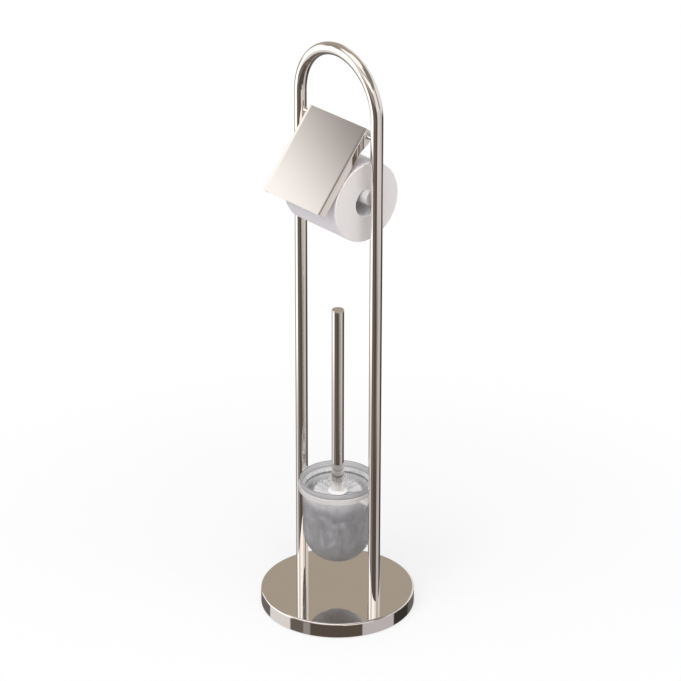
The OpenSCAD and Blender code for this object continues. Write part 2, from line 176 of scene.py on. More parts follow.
class RollSizes(bpy.types.PropertyGroup):
    """Sizes of the paper roll and its core."""

    radius: length("Radius", "Radius of the roll", ROLL_RADIUS)
    edge: length("Edge", "Radius of the roll's soft edges", 2 * MM)
    quilt: length("Quilt", "Pitch of the embossed pattern", 4.2 * MM)
    quilt_depth: length("Quilt depth", "Depth of the embossed pattern", 0.14 * MM)
    ply: length("Ply", "Step at the end of the outermost sheet", 0.25 * MM)
    wind_pitch: length("Wind pitch", "Distance between the rings that show on the ends", 1.3 * MM)
    wind_depth: length("Wind depth", "Height of the rings that show on the ends", 0.12 * MM)
    core_wall: length("Core wall", "Wall of the cardboard core", 0.9 * MM)
    seam_pitch: length("Seam pitch", "Pitch of the spiral seam in the core", 62 * MM)
    free_end: angle("Free end", "Angle round the roll of the outermost sheet's end", 150)


class CupSizes(bpy.types.PropertyGroup):
    """Sizes of the glass cup."""

    wall: length("Wall", "Thickness of the glass", 3 * MM)
    lip_out: length("Lip", "How far the lip stands out past the body", 4 * MM)
    lip_height: length("Lip height", "Height of the lip above its seat", 6.7 * MM)
    mouth_flare: length("Mouth flare", "How far the mouth is wider than the bore", 3.8 * MM)
    throat_rise: length("Throat", "Height over which the bore widens to the mouth", 9 * MM)
    groove: length("Groove", "Depth of the fine groove under the throat", 0.4 * MM)
    groove_height: length("Groove height", "Height of that groove", 3.6 * MM)


class BrushSizes(bpy.types.PropertyGroup):
    """Sizes of the brush."""

    handle_radius: length("Handle radius", "Radius of the handle", HANDLE_RADIUS)
    handle_wall: length("Handle wall", "Wall of the handle tube", 1 * MM)
    cap_edge: length("Cap edge", "Radius of the cap's edge", 0.5 * MM)
    joint: length("Joint", "Width of the fine joint under the cap", 0.15 * MM)
    collar_radius: length("Collar radius", "Radius of the collar", COLLAR_RADIUS)
    sleeve_radius: length("Core radius", "Radius of the core that holds the bristles", 8 * MM)
    disc: length("Disc", "Thickness of the disc on top of the bristles", 1.5 * MM)
    reach: length("Reach", "Radius of the brush head", HEAD_RADIUS)
    bristle: length("Bristle", "Radius of one bristle at its root", 0.33 * MM)
    tufts_around: count("Tufts around", "Tufts in a row round the core", 18)
    tuft_rows: count("Tuft rows", "Rows of tufts on the side of the core", 11)
    strands: count("Strands", "Bristles in a tuft", 16)


class SpindleSizes(bpy.types.PropertyGroup):
    """Sizes of the sprung spindle."""

    edge: length("Edge", "Radius of the spindle's edges", 0.8 * MM)
    end: length("End", "Thickness of the spindle's ends", 3 * MM)
    wall: length("Wall", "Wall of the two halves", 1.5 * MM)
    spring_room: length("Spring room", "Room between the inner half's tip and the spring", 0.1 * MM)
    press: length("Press", "How far the inner half presses in", 8 * MM)
    wire: length("Wire", "Radius of the spring's wire", 0.6 * MM)
    turns: count("Turns", "Turns of the spring", 12)


class Colours(bpy.types.PropertyGroup):
    """Colours of the finishes."""

    nickel: colour("Nickel", "Polished warm nickel", (0.90, 0.86, 0.825))
    coating: colour("Coating", "Satin coating of the cup's ring", (0.60, 0.57, 0.555))
    glass: colour("Glass", "Frosted glass", (0.57, 0.565, 0.57))
    frost: colour("Frost", "Light that the etched surface scatters", (0.59, 0.58, 0.59))
    # The wound side's colour holds painted shade from the flap above it
    paper: colour("Paper", "Wound side of the tissue paper", (0.70, 0.665, 0.685))
    paper_end: colour("Paper end", "Cut ends of the tissue paper", (0.73, 0.69, 0.675))
    card: colour("Card", "Grey card of the core", (0.94, 0.925, 0.915))
    plastic: colour("Plastic", "Light grey plastic of the spindle", (0.57, 0.555, 0.55))
    nylon: colour("Nylon", "White bristles", (0.99, 0.985, 0.99))
    rubber: colour("Rubber", "Black rubber of the pad", (0.02, 0.02, 0.02))
    casting: colour("Casting", "Dark paint on the weight", (0.05, 0.05, 0.055))
    steel: colour("Steel", "Bare steel of the hidden fixings", (0.52, 0.52, 0.53))


class StageSizes(bpy.types.PropertyGroup):
    """Camera, floor and lamps. Angles are seen from above, from the side that the flap faces."""

    azimuth: angle("Azimuth", "Direction of the camera", 49.11)
    elevation: angle("Elevation", "Height of the camera above the horizon", 25.642)
    distance: length("Distance", "Distance from the camera to the point it looks at", 4.099)
    roll: angle("Roll", "Turn of the camera about its view", 0.103)
    aim_right: length("Aim right", "Shift of that point to the camera's right", 3.27 * MM)
    aim_up: length("Aim up", "Height of that point", 0.382035)
    focal: length("Focal length", "Focal length for a sensor 36 mm wide", 169.145 * MM)
    floor_radius: length("Floor radius", "Radius of the floor", 6.0)


# Shader values as Python expressions


def math_method(operation, swapped=False):
    """A method of Term that adds one Math node."""

    def method(self, other=0.0):
        first, second = (other, self) if swapped else (self, other)
        return self.graph.add("ShaderNodeMath", {"operation": operation}, {0: first, 1: second})

    return method


class Term:
    """A shader value or colour. Arithmetic on it adds Math nodes, for values only."""

    def __init__(self, graph, socket):
        self.graph = graph
        self.socket = socket

    __add__ = math_method("ADD")
    __radd__ = math_method("ADD", True)
    __sub__ = math_method("SUBTRACT")
    __rsub__ = math_method("SUBTRACT", True)
    __mul__ = math_method("MULTIPLY")
    __rmul__ = math_method("MULTIPLY", True)
    larger = math_method("MAXIMUM")
    smaller = math_method("MINIMUM")
    size = math_method("ABSOLUTE")
    sine = math_method("SINE")
    arcsine = math_method("ARCSINE")
    arctan2 = math_method("ARCTAN2")

    def between(self, start, end):
        """A value that goes from start to end as this one goes from 0 to 1."""
        return self * (end - start) + start

    def rise(self, start, end):
        """A smooth step from 0 at start to 1 at end."""
        return self.graph.add(
            "ShaderNodeMapRange",
            {"interpolation_type": "SMOOTHSTEP"},
            {"Value": self, "From Min": start, "From Max": end},
        )


class Graph:
    """The nodes of one material or world."""

    def __init__(self, tree):
        self.tree = tree
        tree.nodes.clear()

    def add(self, kind, settings=None, inputs=None, output=0):
        """A node of a type, with its settings first and then the values or links of its inputs."""
        node = self.tree.nodes.new(kind)
        for key, value in (settings or {}).items():
            setattr(node, key, value)
        for key, value in (inputs or {}).items():
            if isinstance(value, Term):
                self.tree.links.new(value.socket, node.inputs[key])
            else:
                node.inputs[key].default_value = value
        return Term(self, node.outputs[output])

    def place(self):
        """Object coordinates of the shaded point."""
        return self.add("ShaderNodeTexCoord", output="Object")

    def noise(self, vector, scale, detail=3.0, roughness=0.5):
        """Cloudy noise between 0 and 1, with scale in features a metre."""
        inputs = {"Vector": vector, "Scale": scale, "Detail": detail, "Roughness": roughness}
        return self.add("ShaderNodeTexNoise", {}, inputs)

    def parts(self, vector):
        """The three coordinates of a vector."""
        node = self.add("ShaderNodeSeparateXYZ", {}, {0: vector}).socket.node
        return [Term(self, socket) for socket in node.outputs]

    def move(self, vector, offset):
        """A vector shifted by a constant."""
        return self.add("ShaderNodeVectorMath", {"operation": "ADD"}, {0: vector, 1: offset})

    def stretch(self, vector, factors):
        """A vector whose coordinates are multiplied by constants."""
        return self.add("ShaderNodeVectorMath", {"operation": "MULTIPLY"}, {0: vector, 1: factors})

    def measure(self, vector):
        """Length of a vector."""
        return self.add("ShaderNodeVectorMath", {"operation": "LENGTH"}, {0: vector}, "Value")

    def reach(self, vector, kept):
        """Length of a vector in the coordinates that are kept, given as 1 or 0 each."""
        return self.measure(self.stretch(vector, kept))

    def along(self, vector, direction):
        """Reach of a vector in a constant direction."""
        inputs = {0: vector, 1: direction}
        return self.add("ShaderNodeVectorMath", {"operation": "DOT_PRODUCT"}, inputs, "Value")

    def mix(self, factor, first, second):
        """A colour between two colours."""
        inputs = {"Factor": factor, 6: opaque(first), 7: opaque(second)}
        return self.add("ShaderNodeMix", {"data_type": "RGBA"}, inputs, 2)

    def vary(self, factor, value, darker, lighter):
        """A colour that goes with a factor from a darker to a lighter shade of itself."""
        return self.mix(factor, shade(value, darker), shade(value, lighter))

    def bump(self, height, strength, distance):
        """A normal from a height."""
        inputs = {"Height": height, "Strength": strength, "Distance": distance}
        return self.add("ShaderNodeBump", {}, inputs)

    def blend(self, factor, first, second):
        """A shader between two shaders."""
        return self.add("ShaderNodeMixShader", {}, {0: factor, 1: first, 2: second})

    def rays(self, kind):
        """The share of rays of a kind, named as the Light Path node names it."""
        return self.add("ShaderNodeLightPath", output=kind)

    def finish(self, shader, kind="ShaderNodeOutputMaterial"):
        """The output node."""
        node = self.tree.nodes.new(kind)
        self.tree.links.new(shader.socket, node.inputs["Surface"])


def opaque(value):
    """A colour with four numbers, or a link as it is."""
    if isinstance(value, Term):
        return value
    return (*tuple(value)[:3], 1.0)


# Finishes

FINISHES = {}
# Painted light and shade on the etched glass near the mouth: lighter on the lip's top, darker on its side,
# lighter in its throat and on its neck outside
LIP_TOP_PAINTED_LIGHT = (0.84, 0.835, 0.84)
LIP_SIDE_PAINTED_SHADE = (0.48, 0.47, 0.475)
THROAT_PAINTED_LIGHT = (0.96, 0.955, 0.96)
NECK_PAINTED_LIGHT = (0.74, 0.725, 0.73)
FIBRE_TONE = (0.6, 0.58, 0.58)


def material(name, make):
    """The material of a name, made on first use by a function that takes its graph."""
    if name not in FINISHES:
        made = bpy.data.materials.new(name)
        made.use_nodes = True
        graph = Graph(made.node_tree)
        graph.finish(make(graph))
        FINISHES[name] = made
    return FINISHES[name]


def shader(graph, colour_value, roughness, normal=None, **fixed):
    """A Principled shader. Fixed inputs have their socket's name with underscores."""
    inputs = {"Base Color": opaque(colour_value), "Roughness": roughness}
    for key, value in fixed.items():
        inputs[key.replace("_", " ")] = value
    if normal:
        inputs["Normal"] = normal
    return graph.add("ShaderNodeBsdfPrincipled", {}, inputs)


def colours():
    """The colours that the user chose."""
    return bpy.context.scene.butler_colours


def shade(value, factor):
    """A colour made darker or lighter by a factor."""
    return tuple(min(1.0, part * factor) for part in value)


def nickel(graph):
    """Mirror plating: faint clouds in the polish and a very slight ripple."""
    place = graph.place()
    clouds = graph.noise(place, scale=22.0)
    polish = graph.noise(place, scale=900.0, detail=2.0)
    tone = graph.vary(clouds, colours().nickel, darker=0.985, lighter=1.01)
    waves = graph.noise(place, scale=90.0, detail=1.0)
    ripple = graph.bump(waves, strength=0.008, distance=0.1 * MM)
    smoothest = 0.022
    roughness = clouds * 0.02 + polish * 0.012 + smoothest
    return shader(graph, tone, roughness, ripple, Metallic=1.0)


def coating(graph):
    """Satin pale coating with a faint flow and a fine skin."""
    place = graph.place()
    flow = graph.noise(place, scale=45.0)
    skin = graph.noise(place, scale=1100.0, detail=2.0)
    tone = graph.vary(flow, colours().coating, darker=0.97, lighter=1.03)
    normal = graph.bump(skin, strength=0.1, distance=0.05 * MM)
    roughness = flow.between(0.3, 0.4)
    return shader(graph, tone, roughness, normal, Coat_Weight=0.25, Coat_Roughness=0.2)


def frosted(graph):
    """Etched glass: soft clouds in the etching, fine grain outside, a smoother inside, painted shade in
    darker lines in its groove, on the rim's top and under the lip, and a mouth that scatters more light,
    with light painted on."""
    place = graph.place()
    sizes = bpy.context.scene.butler_cup
    radius = body_radius(sizes)
    middle = CUP_BOTTOM + radius
    top = CUP_TOP - middle
    x, y, z = graph.parts(graph.move(place, (0.0, 0.0, -middle)))

    def below_rim(start, end):
        """A step that rises from one depth below the rim to another."""
        return z.rise(top - start, top - end)

    # Half widths at which a line of painted shade starts and ends to fade
    groove_line = (0.6 * MM, 2.2 * MM)
    seat_line = (0.3 * MM, 1.3 * MM)
    # Depths below the rim between which the painted shade and the painted light change
    ridge_depths = (1.1 * MM, 0.2 * MM)
    lip_depths = (15 * MM, 7 * MM)
    mouth_depths = (33 * MM, 17 * MM)
    # Distances from the axis between which the lip's top turns into its side
    lip_turn = (47.2 * MM, 48.8 * MM)
    most_of_wall = 0.8
    ball = graph.add("ShaderNodeCombineXYZ", {}, {0: x, 1: y, 2: z.smaller(0.0)})
    outside = graph.measure(ball).rise(radius - sizes.wall * most_of_wall, radius)
    flattened = graph.stretch(place, (1.0, 1.0, 0.8))
    clouds = graph.noise(flattened, scale=100.0, detail=5.0, roughness=0.65).rise(0.3, 0.7)
    grain = graph.noise(place, scale=2600.0, detail=2.0)
    relief = graph.bump(grain, strength=0.15, distance=0.2 * MM)
    # Painted shade in fine darker lines: in the groove inside, along the top of the rim, and a painted
    # shadow under the lip where it sits on the ring
    line = (z - (groove_middle() - middle)).size()
    groove = (1.0 - line.rise(*groove_line)) * (1.0 - outside)
    painted_rim_shade = below_rim(*ridge_depths)
    seat = (z - (CUP_TOP - sizes.lip_height - middle)).size()
    painted_seat_shadow = (1.0 - seat.rise(*seat_line)) * outside
    painted_shade_lines = (groove * 0.75).larger(painted_rim_shade * 0.45).larger(painted_seat_shadow * 0.5)
    painted_line_shade = 0.2
    # The glass itself, with light painted on near the mouth and the painted shade lines
    near_mouth = below_rim(*mouth_depths)
    painted_mouth_light = 1.3
    tone = graph.mix(near_mouth, colours().glass, shade(colours().glass, painted_mouth_light))
    tone = graph.mix(painted_shade_lines, tone, shade(colours().glass, painted_line_shade))
    roughness = outside * 0.25 + clouds * 0.08 + 0.22
    glass = shader(graph, tone, roughness, relief, Transmission_Weight=1.0, IOR=1.5)
    # Light that its etched skin scatters, with light and shade painted on near the mouth and the painted
    # shade lines
    frost = graph.vary(clouds, colours().frost, darker=0.82, lighter=1.08)
    lip = below_rim(*lip_depths) * outside
    rim = graph.reach(place, (1.0, 1.0, 0.0)).rise(*lip_turn)
    # Painted light and shade: the lip's top lighter and its side darker, the throat and the neck lighter
    lip_painted_light = graph.mix(rim, LIP_TOP_PAINTED_LIGHT, LIP_SIDE_PAINTED_SHADE)
    throat_painted_light = graph.mix(outside, THROAT_PAINTED_LIGHT, NECK_PAINTED_LIGHT)
    frost = graph.mix(near_mouth, frost, graph.mix(lip, throat_painted_light, lip_painted_light))
    frost = graph.mix(painted_shade_lines, frost, shade(colours().frost, painted_line_shade))
    matt = shader(graph, frost, 0.5, relief)
    least_matt = 0.14
    share = near_mouth * 0.45 + clouds * 0.16 + least_matt
    body = graph.blend(share, glass, matt)
    # Lamps shine through the wall onto the bristles
    let_through = 0.85
    clear = graph.add("ShaderNodeBsdfTransparent")
    return graph.blend(graph.rays("Is Shadow Ray") * let_through, body, clear)


def tissue(graph):
    """Soft paper: fibres, faint crossing folds, fine rings on the ends, and painted shade on the wound
    side.
    """
    place = graph.place()
    centred = graph.move(place, (-ROLL_X, 0.0, -ROLL_Z))
    x, y, z = graph.parts(centred)
    radius = graph.reach(centred, (0.0, 1.0, 1.0))
    turn = y.arctan2(z)
    half_width = span("paper_roll")[0] / 2
    on_end = x.size().rise(half_width - 2 * MM, half_width - 0.5 * MM)
    wobble = graph.noise(place, scale=70.0, detail=2.0)
    ring_rate = 2900.0
    fold_rate = 1500.0
    folds_round = 78.0
    rings = (radius * ring_rate + wobble * 5.0).sine().between(0.5, 1.0)
    pressed = graph.stretch(place, (1.0, 2.5, 2.5))
    fibres = graph.noise(pressed, scale=1500.0, detail=4.0, roughness=0.65)
    folds = (x * fold_rate).sine() * (turn * folds_round).sine()
    relief = fibres * 0.6 + (1.0 - on_end) * folds * 0.25 + on_end * rings * 0.5
    # Painted shade: the wound side takes a darker, cooler colour than the ends
    base = graph.mix(on_end, colours().paper, colours().paper_end)
    tone = graph.mix(fibres * 0.12, base, FIBRE_TONE)
    normal = graph.bump(relief, strength=0.35, distance=0.25 * MM)
    roughness = 0.92
    return shader(graph, tone, roughness, normal, Sheen_Weight=0.15)


def card(graph):
    """Grey card with fibres and cloudy patches."""
    place = graph.place()
    fibres = graph.noise(graph.stretch(place, (0.4, 1.0, 1.0)), scale=1800.0, detail=4.0, roughness=0.7)
    patches = graph.noise(place, scale=90.0)
    mottle = fibres * 0.7 + patches * 0.3
    tone = graph.vary(mottle.rise(0.3, 0.7), colours().card, darker=0.82, lighter=1.12)
    roughness = 0.88
    return shader(graph, tone, roughness, graph.bump(fibres, strength=0.3, distance=0.15 * MM))


def moulded(graph):
    """Light plastic with a fine moulded grain."""
    place = graph.place()
    grain = graph.noise(place, scale=1900.0, detail=2.0)
    flow = graph.noise(graph.stretch(place, (0.15, 1.0, 1.0)), scale=160.0)
    tone = graph.vary(flow, colours().plastic, darker=0.96, lighter=1.03)
    roughness = flow.between(0.3, 0.4)
    return shader(graph, tone, roughness, graph.bump(grain, strength=0.12, distance=0.05 * MM))


def filament(graph):
    """White nylon strands, with painted shade that makes them a little darker near the core."""
    place = graph.place()
    # Painted shade near the core fades out between these distances
    dark_until = 6 * MM
    pale_from = 24 * MM
    painted_root_shade_fade = graph.reach(place, (1.0, 1.0, 0.0)).rise(dark_until, pale_from)
    streaks = graph.noise(graph.stretch(place, (1.0, 1.0, 3.0)), scale=420.0)
    tone = graph.vary(painted_root_shade_fade * 0.4 + streaks * 0.6, colours().nylon, darker=0.96, lighter=1.01)
    solid = shader(graph, tone, streaks.between(0.32, 0.47))
    clear = graph.add("ShaderNodeBsdfTranslucent", {}, {"Color": tone})
    through = 0.1
    return graph.blend(through, solid, clear)


def rubber(graph):
    """Matt rubber with a fine grain."""
    place = graph.place()
    grain = graph.noise(place, scale=1400.0)
    dust = graph.noise(place, scale=40.0)
    tone = graph.vary(dust.rise(0.35, 0.75), colours().rubber, darker=1.0, lighter=2.2)
    roughness = dust.between(0.75, 0.85)
    return shader(graph, tone, roughness, graph.bump(grain, strength=0.4, distance=0.15 * MM))


def casting(graph):
    """Painted casting with a rough, pitted skin."""
    pits = graph.noise(graph.place(), scale=520.0, detail=5.0, roughness=0.6)
    tone = graph.vary(pits.rise(0.4, 0.65), colours().casting, darker=0.7, lighter=1.4)
    roughness = pits.between(0.45, 0.7)
    return shader(graph, tone, roughness, graph.bump(pits, strength=0.6, distance=0.4 * MM))


def steel(graph):
    """Bare turned steel with fine tool marks."""
    marks = graph.noise(graph.stretch(graph.place(), (1.0, 1.0, 14.0)), scale=900.0, detail=2.0)
    tone = graph.vary(marks, colours().steel, darker=0.9, lighter=1.1)
    roughness = marks.between(0.25, 0.4)
    normal = graph.bump(marks, strength=0.15, distance=0.05 * MM)
    return shader(graph, tone, roughness, normal, Metallic=1.0)


# Shapes


def rounded_path(corners, steps=6, hold=0.04 * MM):
    """Points of a path through corners (x, z, radius). A corner with a radius becomes an arc that
    touches both sides, with one point more just before and after it, so that flat parts stay flat."""
    places = np.array([corner[:2] for corner in corners])
    path = []
    for number, (x, z, radius) in enumerate(corners):
        corner = np.array([x, z])
        if radius <= 0:
            path.append(corner)
            continue
        back = unit(places[number - 1] - corner)
        on = unit(places[number + 1] - corner)
        half = math.acos(np.clip(back @ on, -1, 1)) / 2
        reach = radius / math.tan(half)
        centre = corner + unit(back + on) * radius / math.sin(half)
        first = corner + back * reach - centre
        last = corner + on * reach - centre
        turn = math.pi - 2 * half
        share = np.linspace(0, 1, steps + 1)[:, None]
        arc = (np.sin((1 - share) * turn) * first + np.sin(share * turn) * last) / math.sin(turn)
        path.append(centre + first + back * hold)
        path.extend(centre + arc)
        path.append(centre + last + on * hold)
    return np.array(path)


def unit(vector):
    """A vector of length 1."""
    return vector / np.linalg.norm(vector)


def arc_path(centre, radius, start, end, steps):
    """Points (x, z) on a circle, from one angle to another in degrees."""
    turn = np.radians(np.linspace(start, end, steps + 1))
    return np.stack([centre[0] + radius * np.cos(turn), centre[1] + radius * np.sin(turn)], axis=1)


def once_round(number):
    """Angles once round, in even steps."""
    return np.linspace(0, 2 * np.pi, number, endpoint=False)


def turned(profile, segments=128, axis="Z", centre=(0.0, 0.0, 0.0)):
    """Profile points (r, h) turned round an axis: (r cos a, r sin a, h), with h along the axis."""
    turn = once_round(segments)
    across = profile[:, :1] * np.cos(turn)
    around = profile[:, :1] * np.sin(turn)
    along = profile[:, 1:] + 0 * turn
    parts = (across, around, along) if axis == "Z" else (along, across, around)
    return np.stack(parts, axis=-1) + np.array(centre)


def cells(index, close_rows=False, close_columns=False):
    """The four corners of each cell of a grid of vertex numbers, closed where told."""
    if close_rows:
        index = np.vstack([index, index[:1]])
    if close_columns:
        index = np.hstack([index, index[:, :1]])
    corners = (index[:-1, :-1], index[1:, :-1], index[1:, 1:], index[:-1, 1:])
    return np.stack(corners, axis=-1).reshape(-1, 4)


def add_mesh(name, points, faces, crease=35.0):
    """An object from points and faces: doubles merge, faces turn outwards, and edges past the crease, in
    degrees, stay sharp."""
    mesh = bpy.data.meshes.new(name)
    mesh.from_pydata(points.tolist(), [], faces)
    work = bmesh.new()
    work.from_mesh(mesh)
    unused = [point for point in work.verts if not point.link_faces]
    bmesh.ops.delete(work, geom=unused, context="VERTS")
    bmesh.ops.remove_doubles(work, verts=work.verts, dist=MERGE)
    bmesh.ops.dissolve_degenerate(work, edges=work.edges, dist=MERGE)
    bmesh.ops.recalc_face_normals(work, faces=work.faces)
    work.to_mesh(mesh)
    work.free()
    mesh.shade_smooth()
    mesh.set_sharp_from_angle(angle=math.radians(crease))
    piece = bpy.data.objects.new(name, mesh)
    bpy.context.scene.collection.objects.link(piece)
    return piece


def dress(piece, finish, body, nodes):
    """Gives a piece its material and its body, and hides the nodes it stands for."""
    piece.data.materials.append(material(finish.__name__, finish))
    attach(piece, body)
    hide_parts(*nodes)
    return piece


def add_grids(name, grids, finish, body, nodes, crease=35.0):
    """A piece from grids, each as (points, close rows, close columns)."""
    faces = []
    points = []
    total = 0
    for grid, close_rows, close_columns in grids:
        rows, columns = grid.shape[:2]
        index = np.arange(rows * columns).reshape(rows, columns) + total
        faces.extend(cells(index, close_rows, close_columns).tolist())
        points.append(grid.reshape(-1, 3))
        total += rows * columns
    piece = add_mesh(name, np.vstack(points), faces, crease)
    return dress(piece, finish, body, nodes)


def add_turned(name, profile, finish, body, node, slot, segments=128, axis="Z", height=0.0, closed=True):
    """A piece turned from a profile, round the Z axis, or round an X axis at a height. A closed profile is
    a wall round a hole, an open one ends on the axis."""
    grid = turned(profile, segments, axis, (0, 0, height))
    return add_grids(name, [(grid, closed, True)], finish, body, [node])


def bush_profile(outer, inner, start, end, edge):
    """Profile of a plain tube with rounded edges, from one height to another."""
    corners = [(inner, start, edge), (outer, start, edge), (outer, end, edge), (inner, end, edge)]
    return closed_path(corners)


def closed_path(corners, steps=4):
    """A closed path: the corners are taken round once, each with its neighbours."""
    padded = [corners[-1], *corners, corners[0]]
    padded[0] = (*padded[0][:2], 0)
    padded[-1] = (*padded[-1][:2], 0)
    return rounded_path(padded, steps)[1:-1]


# Slot of the polished pieces, apart from the flap
METAL = "polished_metal"


# Pieces of the base


def base_shell(sizes):
    """Profile of the shell: top, round edge, side, lower edge, and the same shape inside."""
    bottom = low("base_cover")[2]
    top = high("base_cover")[2]
    fine = sizes.wall / 4
    inside = sizes.radius - sizes.wall
    ceiling = top - sizes.wall
    return rounded_path(
        [
            (0, top, 0),
            (sizes.radius, top, sizes.edge),
            (sizes.radius, bottom, fine),
            (inside, bottom, fine),
            (inside, ceiling, sizes.edge),
            (0, ceiling, 0),
        ],
        steps=12,
    )


def base_pad(sizes, rows=240):
    """Profile of the pad: a disc with round edges and shallow grooves underneath, each half a wave."""
    radius = high("base_pad")[0]
    top = high("base_pad")[2]
    margin = 2 * MM
    lower_edge = 0.5 * MM
    upper_edge = 0.3 * MM
    reach = np.linspace(0, radius - sizes.groove_pitch, rows)
    wave = np.clip(np.cos(2 * np.pi * reach / sizes.groove_pitch), 0, 1) * sizes.groove_depth
    under = np.stack([reach, wave], axis=1)
    corners = [(radius - margin, 0, 0), (radius, 0, lower_edge), (radius, top, upper_edge), (0, top, 0)]
    return np.vstack([under, rounded_path(corners)])


class BUTLER_OT_base(bpy.types.Operator):
    """Round shell and its pad"""

    bl_idname = "butler.base"
    bl_label = "Base"

    def execute(self, context):
        """Adds both pieces."""
        sizes = context.scene.butler_base
        shell = base_shell(sizes)
        add_turned("base_shell", shell, nickel, "stand", "base_cover", METAL, segments=256, closed=False)
        pad = base_pad(sizes)
        add_turned("pad", pad, rubber, "stand", "base_pad", "pad_rubber", segments=160, closed=False)
        return {"FINISHED"}


# Pieces of the frame

# Columns of points round the tube, and cells from the middle of a hole's square to its edge
TUBE_COLUMNS = 72
HOLE_CELLS = 4


def even_rows(start, end, step=9 * MM):
    """Heights after a start, in even steps as near to the wanted one as fit."""
    steps = max(1, round((end - start) / step))
    return np.linspace(start, end, steps + 1)[1:]


def leg_heights(foot, holes):
    """Heights of a leg's rows: even steps, and close ones up to twice a hole's radius from its middle."""
    heights = [foot]
    for height, radius in holes:
        low_end = height - 2 * radius
        heights.extend(even_rows(heights[-1], low_end))
        heights.extend(np.linspace(low_end, height + 2 * radius, 4 * HOLE_CELLS + 1)[1:])
    heights.extend(even_rows(heights[-1], ARCH_Z))
    return np.array(heights)


def bent_tube(sizes, radius, climb, arch_rows=112):
    """Surface round a path that goes up one leg, over a half circle and down the other leg. A point is
    the path's place plus radius times (cos b along the bend's radius and sin b along Y)."""
    rows = len(climb)
    bend = np.linspace(np.pi, 0, arch_rows)
    turn = np.concatenate([np.full(rows - 1, np.pi), bend, np.zeros(rows - 1)])[:, None]
    height = np.concatenate([climb[:-1], np.full(arch_rows, ARCH_Z), climb[-2::-1]])[:, None]
    around = once_round(TUBE_COLUMNS)[None, :]
    reach = sizes.leg_offset + radius * np.cos(around)
    x = reach * np.cos(turn)
    y = radius * np.sin(around) + 0 * turn
    z = height + reach * np.sin(turn)
    return np.stack([x, y, z], axis=-1)


def round_hole(grid, row, radius, hole, sizes):
    """Moves the points round the middle of a hole in a leg's inner wall. A square of cells takes the shape
    of the hole's circle, and from there to twice as far out the points go over into the even grid."""
    steps = np.arange(-2 * HOLE_CELLS, 2 * HOLE_CELLS + 1) / HOLE_CELLS
    u, v = np.meshgrid(steps, steps)
    ring = np.maximum(np.maximum(np.abs(u), np.abs(v)), 1)
    size = np.maximum(np.hypot(u, v), 0.5 / HOLE_CELLS)
    column = TUBE_COLUMNS // 2
    rows = slice(row - 2 * HOLE_CELLS, row + 2 * HOLE_CELLS + 1)
    columns = slice(column - 2 * HOLE_CELLS, column + 2 * HOLE_CELLS + 1)
    patch = grid[rows, columns]
    height = grid[row, column, 2]
    down = np.sign(patch[-1, 0, 2] - patch[0, 0, 2])
    cell_turn = 2 * np.pi / TUBE_COLUMNS * HOLE_CELLS
    far_y = -radius * np.sin(2 * u / ring * cell_turn)
    far_z = 2 * v / ring * hole
    share = ring - 1
    y = (1 - share) * -hole * u / size + share * far_y
    z = (1 - share) * hole * v / size + share * far_z
    x = sizes.leg_offset - np.sqrt(radius**2 - y**2)
    side = np.sign(patch[0, 0, 0])
    grid[rows, columns] = np.stack([side * x, y, height + down * z], axis=-1)


def square_round(row, column, step):
    """Numbers of the vertices on the edge of a hole's square, in order round it."""
    line = np.arange(-HOLE_CELLS, HOLE_CELLS)
    last = np.full(2 * HOLE_CELLS, HOLE_CELLS)
    down = np.concatenate([-last, line, last, -line])
    across = np.concatenate([line, last, -line, -last])
    return (row + step * down) * TUBE_COLUMNS + column + across


def tube_mesh(sizes, foot):
    """Points and faces of the tube: its outer and inner surface, joined at the feet and in the holes."""
    holes = [(SPINDLE_Z, sizes.pin_hole), (ROD_Z, sizes.rod_hole)]
    climb = leg_heights(foot, holes)
    outer = bent_tube(sizes, sizes.tube_radius, climb)
    bore_radius = sizes.tube_radius - sizes.tube_wall
    inner = bent_tube(sizes, bore_radius, climb)
    total = len(outer)
    faces = np.arange(2 * total * TUBE_COLUMNS).reshape(2 * total, TUBE_COLUMNS)
    faces = cells(faces, True, True).reshape(2 * total, TUBE_COLUMNS, 4)
    kept = np.ones(faces.shape[:2], bool)
    column = TUBE_COLUMNS // 2
    middle = slice(column - HOLE_CELLS, column + HOLE_CELLS)
    joins = []
    for height, hole in holes:
        up = int(np.argmin(np.abs(climb - height)))
        for row in (up, total - 1 - up):
            round_hole(outer, row, sizes.tube_radius, hole, sizes)
            round_hole(inner, row, bore_radius, hole, sizes)
            inner_row = 2 * total - 1 - row
            kept[row - HOLE_CELLS : row + HOLE_CELLS, middle] = False
            kept[inner_row - HOLE_CELLS : inner_row + HOLE_CELLS, middle] = False
            edge = square_round(row, column, 1)
            inner_edge = square_round(inner_row, column, -1)
            corners = (edge, np.roll(edge, -1), np.roll(inner_edge, -1), inner_edge)
            joins.append(np.stack(corners, axis=-1))
    points = np.concatenate([outer, inner[::-1]]).reshape(-1, 3)
    return points, np.vstack([faces[kept], *joins]).tolist()


